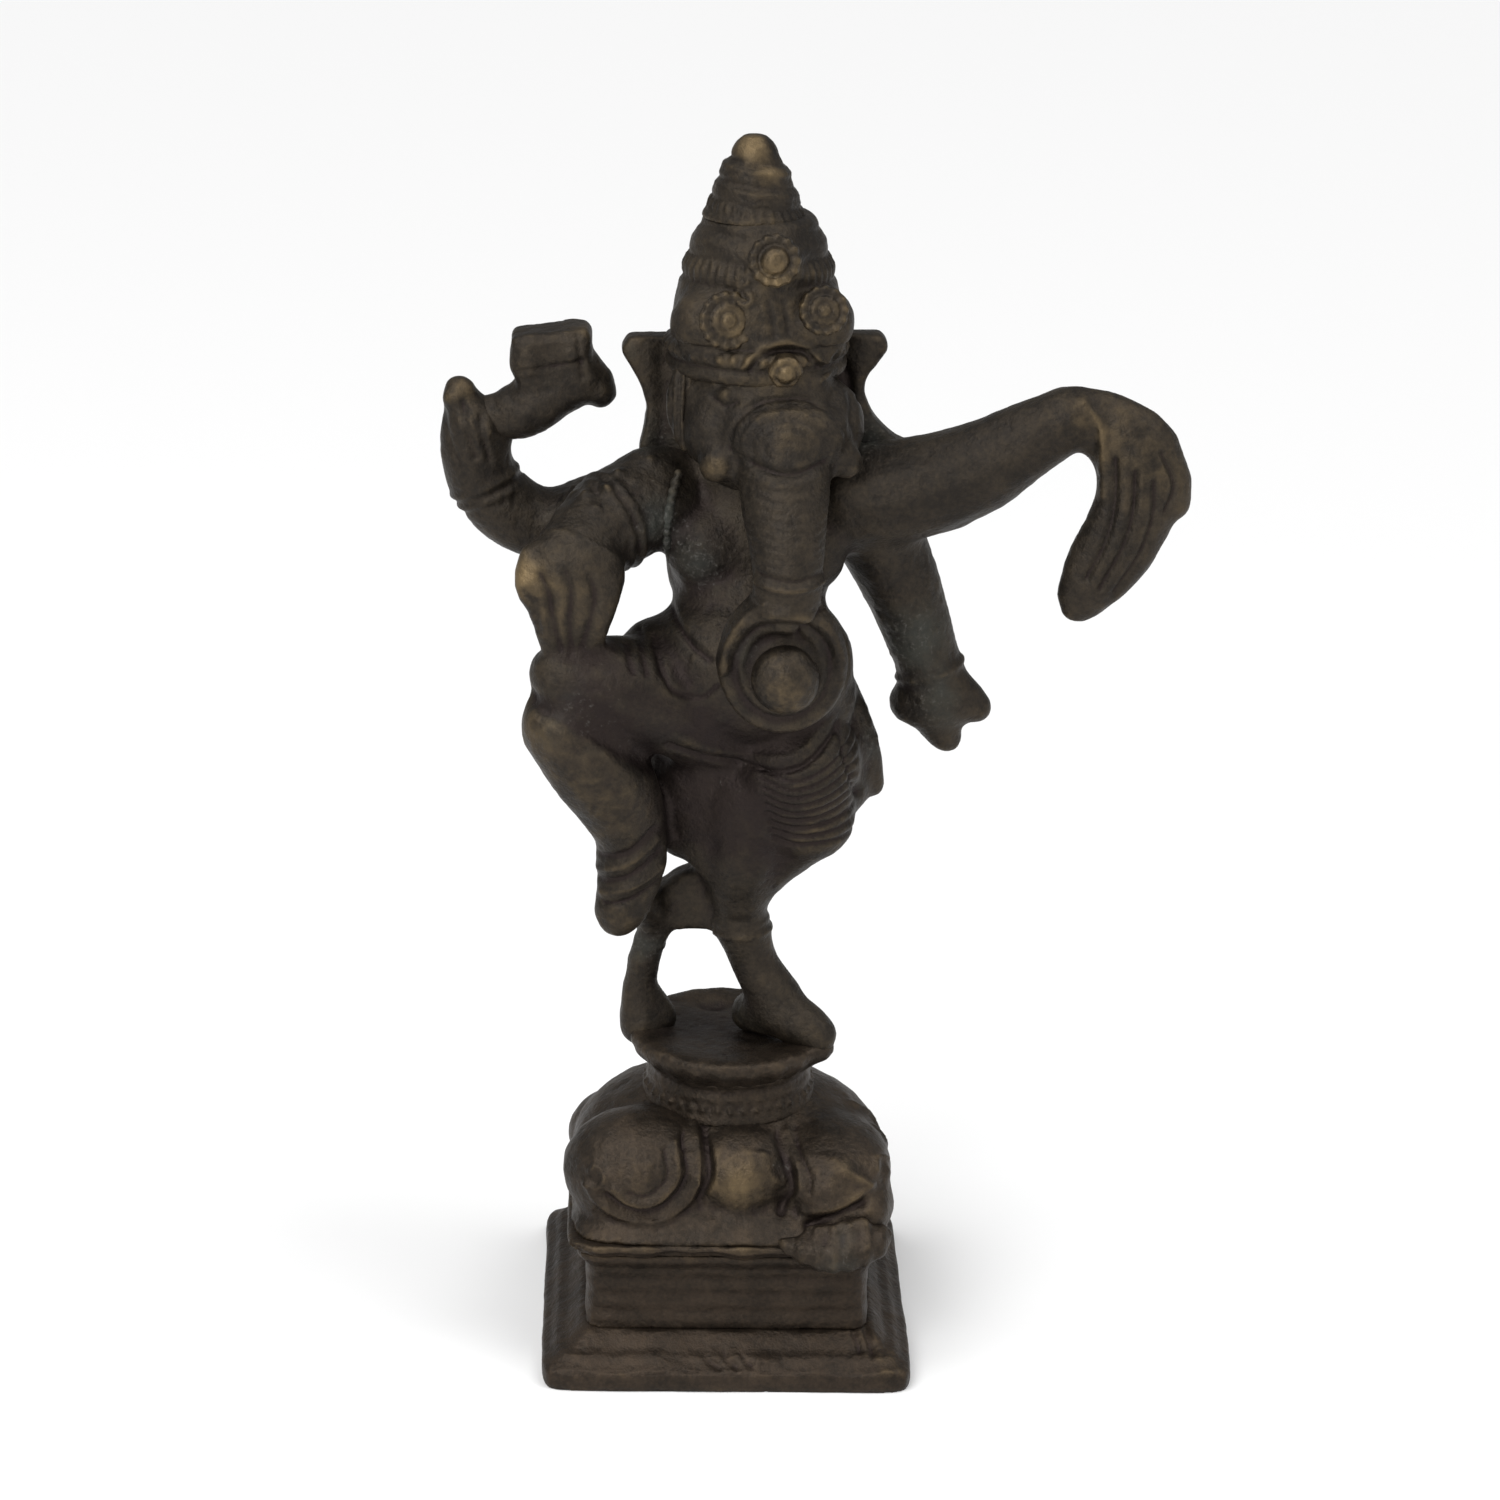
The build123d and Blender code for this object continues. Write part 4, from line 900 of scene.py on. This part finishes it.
def carveHead(points, normals):
    front = (-40, -4)
    cx, cy, cz = head["curl"]
    x, y, z = points.T
    facing = normals[:, 1]
    ox, oz = (x - cx) / 8.9, (z - cz) / 9.9
    ring = np.hypot(ox, oz)
    curlFace = (y < cy) & (z < 119) & (facing < -0.1)
    move = (0.6 * bell(ring, 0.93, 0.09) - 0.45 * bell(ring, 0.76, 0.08)
            + 0.15 * bell(ring, 0.64, 0.06) - 0.3 * bell(ring, 0.52, 0.12)) * curlFace
    # creases across the trunk, closer together lower down
    onTrunk = (np.abs(x - 5.8) < 7.2) & (y < -9) & (z > 117) & (z < 137)
    sag = z - 0.03 * (x - 5.8) ** 2 + 0.25 * grain(points, 2.5, 14)
    creases = head["trunkCreases"] * np.sin(sag * 5.2) * (0.6 + 0.6 * grain(points, 4, 15))
    move += onTrunk * creases * (facing < 0)
    # rounded brow of the trunk root with arcs in it
    dx, dz = x - 5.7, z - 139.8
    arc = np.hypot(dx, dz * 1.35) + 0.35 * grain(points, 2.6, 16)
    upper = (dz > -1.5) & (y < -9)
    for radius, height in ((8.2, -0.35), (6.2, 0.15), (5, -0.2), (3.2, -0.15)):
        move += upper * height * bell(arc, radius, 0.42)
    lines = [
        ([(0.6, 137.4), (5.7, 136.6), (10.8, 137.6)], 0.5, -0.6, *front),
        ([(-0.4, 135.8), (5.7, 135), (11.6, 136)], 0.4, 0.25, *front),
        ([(1.8, 121.8), (6.3, 121.2), (10.8, 121.9)], 0.5, 0.5, -40, -9),
        ([(1.6, 123.2), (6.3, 122.6), (11, 123.3)], 0.4, -0.35, -40, -9),
        ([(2.8, 119.2), (0, 116.4), (-2, 112.6), (-2.4, 108.2)], 0.45, 0.4, -40, -9),
        ([(12, 118.6), (9.6, 116.6), (7.6, 114.2)], 0.5, -0.7, -40, -9),
        ([(-3.2, 149.2), (-0.4, 151), (1.8, 149.8)], 0.5, -0.3, *front),
        # eyes, lids and brows
        ([(-4.6, 146.9), (-3, 147.9), (-1.2, 147.2)], 0.4, 0.4, *front),
        ([(-4.8, 145.2), (-3, 144.2), (-1.4, 145)], 0.35, -0.4, *front),
        ([(10, 147.6), (11.6, 148.2), (13, 147.2)], 0.4, 0.4, *front),
        ([(13.8, 147.6), (14.8, 144), (14.4, 139)], 0.6, -0.5, -40, 1)]
    move += engrave(points, normals, lines)
    # hair on the nape and ribs on the back of each ear
    behind = [([(-4.6 + 2.7 * k, 147), (-4.2 + 2.5 * k, 140), (-3.2 + 2.1 * k, 133)], 0.5, -0.45)
              for k in range(6)]
    behind += [([(1.3 + side * 9, 146.0 - 4.5 * k), (1.3 + side * 14.5, 148.0 - 4.2 * k)], 0.5, -0.35)
               for side in (-1, 1) for k in range(3)]
    move += engrave(points, normals, behind, (0, 1, 0))
    move += spots(points, [(-3.1, -10.4, 145.9, 0.95, 0.6), (11.6, -9.4, 146.2, 0.9, 0.5)])
    # hollow face of each ear
    earFace = (y < 2.2) & (y > -1) & (facing < -0.6)
    move -= earFace * 0.6 * bell(np.abs(x - 1.3), 12.6, 1.6)
    return move


headParts = {"skull": ["skull", "trunk_root"], "trunk": ["trunk_upper"], "trunkCurl": ["trunk_curl"],
    "tuskLeft": ["tusk_left"], "tuskRight": ["tusk_right"], "earLeft": ["ear_left"],
    "earRight": ["ear_right"]}
splitSkin(carvedSkin(clay, head, carveHead), clay, headParts, "figure_brass")
print("head parted")

sweet = {"voxel": 0.3, "rough": 0.7}
clay = newClay()
press(clay, "sweet", (5.9, -19.3, 107.6, 4.8, 3.4, 5))
shapePiece("sweet", clay, sweet, None, "rubbed_brass", ["sweet"])

# grooves are (x, width, depth)
tassel = {"voxel": 0.26, "rough": 0.5, "rub": 0.15, "grooves": [(-8.2, 0.3, 0.25), (-9.3, 0.3, 0.25),
    (-10.4, 0.25, 0.2)]}
clay = newClay()
press(clay, "tassel", [(-8, -4.8, 148.6, 1.6), (-8.9, -4.8, 145.2, 2.1), (-9, -5, 141.8, 2.1),
    (-8.3, -5.4, 138.4, 1.7), (-7.2, -5.6, 136.2, 1)])


def carveTassel(points, normals):
    return -sum(depth * bell(points[:, 0], x, width) for x, width, depth in tassel["grooves"])


shapePiece("earTassel", clay, tassel, carveTassel, "figure_brass", ["ear_tassel"])


crown = {"voxel": 0.33, "softness": 2, "rough": 0.8, "lean": 1.45, "flat": 0.92, "strands": 46,
    "bandBeads": 40}
clay = newClay()
turned(clay, [(0, 147), (12.3, 147), (12.9, 148.2), (12.5, 149.4), (12.9, 150.4), (12.5, 151.4),
    (12, 152.2), (12, 154), (11.6, 157), (11, 160), (10.3, 162.6), (9.3, 165.4), (8, 168.4), (6.9, 169.2),
    (0, 169.2)], (crown["lean"], 0), crown["flat"])
press(clay, "dome", (-4.4, -5.7, 154.8, 6.6, 5.6, 5.4), (9.4, -5.2, 155, 5.6, 5.6, 5.2),
    (4.8, -8.8, 149.8, 3.4, 3, 3), (3.3, -6.6, 163.2, 4.8, 4.2, 4.4))


def carveDome(points, normals):
    around = np.arctan2(points[:, 1] / crown["flat"], points[:, 0] - crown["lean"])
    side = np.clip((np.abs(points[:, 0] - 3.4) - 3) / 1.5, 0, 1) * (points[:, 1] < 3) + (points[:, 1] >= 3)
    locks = np.zeros(len(points))
    level = points[:, 2] + 0.5 * grain(points, 5, 12)
    for z, height in ((167.4, -0.25), (165.6, 0.15), (163.8, -0.3), (162, 0.15), (160.4, -0.35)):
        locks += height * bell(level, z, 0.5)
    z = points[:, 2]
    strands = 0.10 * np.sin(around * crown["strands"]) * (z > 160.6) * (z < 163.6)
    beads = 0.22 * np.sin(around * crown["bandBeads"]) * bell(z, 150.8, 0.7)
    rows = 0.3 * bell(z, 150.8, 0.8) - 0.35 * bell(z, 149.3, 0.4) - 0.35 * bell(z, 152.3, 0.4)
    move = (locks + strands) * side + beads + rows
    lines = [
        ([(-0.8, 150), (1.6, 152.4), (5, 153.4), (8.4, 152.4), (10.6, 150.2)], 0.5, 0.5, -40, -4),
        ([(0.2, 149.6), (2.2, 151.6), (5, 152.4), (7.8, 151.6), (9.6, 149.8)], 0.35, -0.4, -40, -4),
        ([(-0.2, 161.4), (-1.6, 160.4), (-1.6, 158.9), (-0.4, 158.4), (0.4, 159.4), (-0.4, 160.2)], 0.4,
         0.35, -40, -4),
        ([(2.6, 159), (3.2, 156.8), (3.5, 154.4)], 0.4, -0.35, -40, -4),
        ([(4.6, 159), (5.2, 156.8), (5.5, 154.6)], 0.4, -0.3, -40, -4)]
    return move + engrave(points, normals, lines)


dome = carvedSkin(clay, crown, carveDome)
domeShape = bmesh.new()
domeShape.from_mesh(dome)
domeTree = BVHTree.FromBMesh(domeShape)
domeShape.free()
finishPiece("crownDome", dome, "figure_brass", ["crown_dome", "crown_band"])

finial = {"voxel": 0.3, "rough": 0.7, "rub": 0.05, "lean": 0.6, "flat": 0.95, "strokes": 30}
clay = newClay()
turned(clay, [(0, 168.2), (7.2, 168.5), (7.1, 169.2), (6.6, 169.8), (6.4, 170.7), (6.1, 171.6),
    (5.8, 172.6), (5.3, 173.2), (5, 173.9), (4.9, 174.7), (4.5, 175.6), (3.9, 176.2), (3.4, 176.9),
    (3.1, 177.8), (2.5, 178.9), (1.5, 179.8), (0, 180)], (finial["lean"], 0), finial["flat"])


def carveFinial(points, normals):
    around = np.arctan2(points[:, 1], points[:, 0] - finial["lean"])
    level = points[:, 2] + 0.12 * points[:, 0] + 0.25 * grain(points, 3, 13)
    heights = ((171, -0.2), (172.6, 0.2), (173.6, -0.22), (175.4, 0.18), (176.6, -0.2))
    rings = sum(height * bell(level, z, 0.35) for z, height in heights)
    strokes = 0.1 * np.sin(around * finial["strokes"]) * (level > 169.4) * (level < 170.8)
    return rings + strokes + 0.1 * grain(points, 1.6, 8)


shapePiece("crownFinial", clay, finial, carveFinial, "figure_brass", ["crown_finial"])


# at is (x, z) on the crown's front, reach how far the boss stands off it, and profile its (radius, height)
rosettes = {
    "crownRosette": {
        "at": (3.3, 164.8), "petals": 13, "depth": 0.13, "reach": 0, "node": "crown_rosette",
        "profile": [(0, -1.4), (3.5, -1.4), (3.7, -0.1), (3.3, 0.5), (2.6, 0.5), (2.2, 0.2), (1.9, 0.6),
                    (1.6, 1.15), (0.9, 1.6), (0, 1.7)]},
    "medallionLeft": {
        "at": (-2.8, 156.4), "petals": 15, "depth": 0.12, "reach": -0.1, "node": "crown_medallion_left",
        "profile": [(0, -1.4), (3.9, -1.4), (4.1, -0.1), (3.6, 0.45), (3, 0.3), (2.6, 0.15), (2.2, 0.55),
                    (1.6, 0.7), (1.2, 0.5), (0.8, 0.95), (0, 1.1)]},
    "medallionRight": {
        "at": (10.3, 157.8), "petals": 13, "depth": 0.12, "reach": -0.1, "node": "crown_medallion_right",
        "profile": [(0, -1.4), (3.4, -1.4), (3.5, -0.1), (3.1, 0.4), (2.6, 0.25), (2.2, 0.1), (1.9, 0.5),
                    (1.3, 0.65), (1, 0.45), (0.6, 0.9), (0, 1.05)]},
    "browJewel": {
        "at": (5.1, 149.6), "petals": 6, "depth": 0.1, "reach": 0.2, "node": "brow_jewel",
        "profile": [(0, -1.6), (2.2, -1.6), (2.4, 0.2), (2, 0.8), (1.5, 0.6), (1.2, 1.1), (0.6, 1.5),
                    (0, 1.6)]}}
rosetteVoxel, rosetteRough = 0.2, 0.5


def addRosette(name, look):
    # a boss turned on its own axis, set on the crown where the line of sight from the front meets it
    clay = newClay()
    turned(clay, look["profile"], steps=72)
    x, z = look["at"]
    hit, normal, *_ = domeTree.ray_cast(Vector((x, -60, z)), Vector((0, 1, 0)))
    aim = (normal * 0.45 + Vector((0.18, -1, 0.05)) * 0.55).normalized()
    mesh = skinOver(clay, rosetteVoxel * detail, 0, 1)
    points = pointsOf(mesh)
    scallop = np.cos(np.arctan2(points[:, 1], points[:, 0]) * look["petals"])
    away = np.hypot(points[:, 0], points[:, 1])
    edge = np.clip((away / max(r for r, z in look["profile"]) - 0.45) * 2, 0, 1)
    points[:, 2] += look["depth"] * scallop * edge * (points[:, 2] > 0)
    points[:, :2] *= (1 + 0.02 * scallop * edge)[:, None]
    turn = aim.to_track_quat("Z", "Y").to_matrix().to_4x4()
    place = np.array(Matrix.Translation(hit + aim * look["reach"]) @ turn)
    points = points @ place[:3, :3].T + place[:3, 3]
    setPoints(mesh, points)
    points = points + normalsOf(mesh) * (0.6 * castSkin(points, rosetteRough))[:, None]
    setPoints(mesh, points)
    paintWear(mesh)
    finishPiece(name, mesh, "rubbed_brass", [look["node"]])


for name, look in rosettes.items():
    addRosette(name, look)
print("crown done")


axe = {"voxel": 0.32, "softness": 3, "rough": 1.7}
clay = newClay()
press(clay, "axe", [(-37.6, 3.5, 138, 3.3), (-34.4, 3.5, 138.4, 3.6), (-31, 3.5, 139.6, 4.3),
    (-26.6, 3.5, 142.2, 3.9), (-23.4, 3.5, 143.8, 3.5)])
block(clay, "axe", (-26.9, 3.5, 147.7), (11, 7, 7.6), (0, -7, 0))
press(clay, "axe", (-30.4, 1.6, 147.4, 2.6, 2.6, 3.6), (-24, 1.2, 149, 2.8, 2.2, 2.4),
    [(-23.4, 3.5, 145.8, 3.6), (-21, 3.5, 143.6, 3), (-20, 3.5, 142.2, 2.4)])


def carveAxe(points, normals):
    lines = [
        ([(-31.6, 146), (-22.6, 147.4)], 0.35, -0.3, -40, 3),
        ([(-30.6, 149.6), (-23.2, 150.6)], 0.4, 0.2, -40, 3),
        ([(-23.4, 151.4), (-22.8, 145.2)], 0.4, -0.35, -40, 3)]
    return engrave(points, normals, lines)


shapePiece("axe", clay, axe, carveAxe, "figure_brass", ["axe_head", "axe_shaft"])

beads = {"voxel": 0.26, "finish": 1, "rough": 0.6, "green": 0.3, "size": 0.74, "sizeChange": 0.08,
    "inGap": 3, "sunk": 0.5}
strand = [(-9.2, -6.6, 133.2), (-10.2, -7.8, 129.6), (-10.7, -7.9, 126.2), (-10.6, -6.5, 122.6),
    (-10, -5.1, 120.2)]
clay = newClay()
for k, (x, y, z) in enumerate(curve(strand, beads["inGap"])):
    size = beads["size"] + beads["sizeChange"] * math.sin(k * 1.7)
    lump(clay, "beads", (x, y + beads["sunk"], z), size, steps=2)
shapePiece("beadStrand", clay, beads, None, "figure_brass", ["bead_strand"])
print("axe and beads done")


studio = {
    "worldStrength": 0.38, "floorShade": 0.88, "floorHalf": 30, "middle": (0, 0, 0.095),
    "skyLight": 1.2, "skyTilt": 27, "skyPitch": 8, "skySpread": 34,
    # lamps are (place, width, power)
    "lamps": {"keyLight": ((-0.22, -0.50, 0.42), 0.40, 2.2), "sideLight": ((0.55, -0.30, 0.30), 0.30, 0.6)}}

grid = bmesh.new()
bmesh.ops.create_grid(grid, x_segments=1, y_segments=1, size=studio["floorHalf"])
floorData = bpy.data.meshes.new("floor")
grid.to_mesh(floorData)
grid.free()
floor = addObject("floor", floorData)
floorMaterial = bpy.data.materials.new("paleFloor")
floorMaterial.use_nodes = True
paint = floorMaterial.node_tree.nodes["Principled BSDF"].inputs
paint["Base Color"].default_value = (studio["floorShade"],) * 3 + (1,)
paint["Roughness"].default_value = 0.9
paint["Specular IOR Level"].default_value = 0.1
floorData.materials.append(floorMaterial)

world = bpy.data.worlds.new("studio")
world.use_nodes = True
background = world.node_tree.nodes["Background"].inputs
background["Color"].default_value = (1, 1, 1, 1)
background["Strength"].default_value = studio["worldStrength"]
bpy.context.scene.world = world
bpy.context.scene.view_settings.view_transform = "Standard"

for name, (place, width, power) in studio["lamps"].items():
    lamp = bpy.data.lights.new(name, "AREA")
    lamp.shape, lamp.size, lamp.energy = "DISK", width, power
    stand = addObject(name, lamp)
    stand.location = place
    stand.rotation_mode = "QUATERNION"
    stand.rotation_quaternion = (Vector(studio["middle"]) - Vector(place)).to_track_quat("-Z", "Y")
for side, tilt in (("Left", studio["skyTilt"]), ("Right", -studio["skyTilt"])):
    above = bpy.data.lights.new("sky" + side, "SUN")
    above.energy, above.angle = studio["skyLight"], math.radians(studio["skySpread"])
    stand = addObject("sky" + side, above)
    stand.rotation_euler = (math.radians(studio["skyPitch"]), math.radians(tilt), 0)

view = {"target": (0.002, 0, 0.090), "azimuth": -2.1, "elevation": 20.2, "distance": 0.600, "roll": 1.45,
    "lens": 99.6}
lens = bpy.data.cameras.new("camera")
lens.lens, lens.sensor_width = view["lens"], 36
lens.clip_start, lens.clip_end = 0.05, 20
camera = addObject("camera", lens)
az, el = math.radians(view["azimuth"]), math.radians(view["elevation"])
back = Vector((math.sin(az) * math.cos(el), -math.cos(az) * math.cos(el), math.sin(el)))
camera.location = Vector(view["target"]) + back * view["distance"]
roll = Matrix.Rotation(math.radians(view["roll"]), 4, "Z")
turn = (-back).to_track_quat("-Z", "Y").to_matrix().to_4x4() @ roll
camera.rotation_mode = "QUATERNION"
camera.rotation_quaternion = turn.to_quaternion()
bpy.context.scene.camera = camera
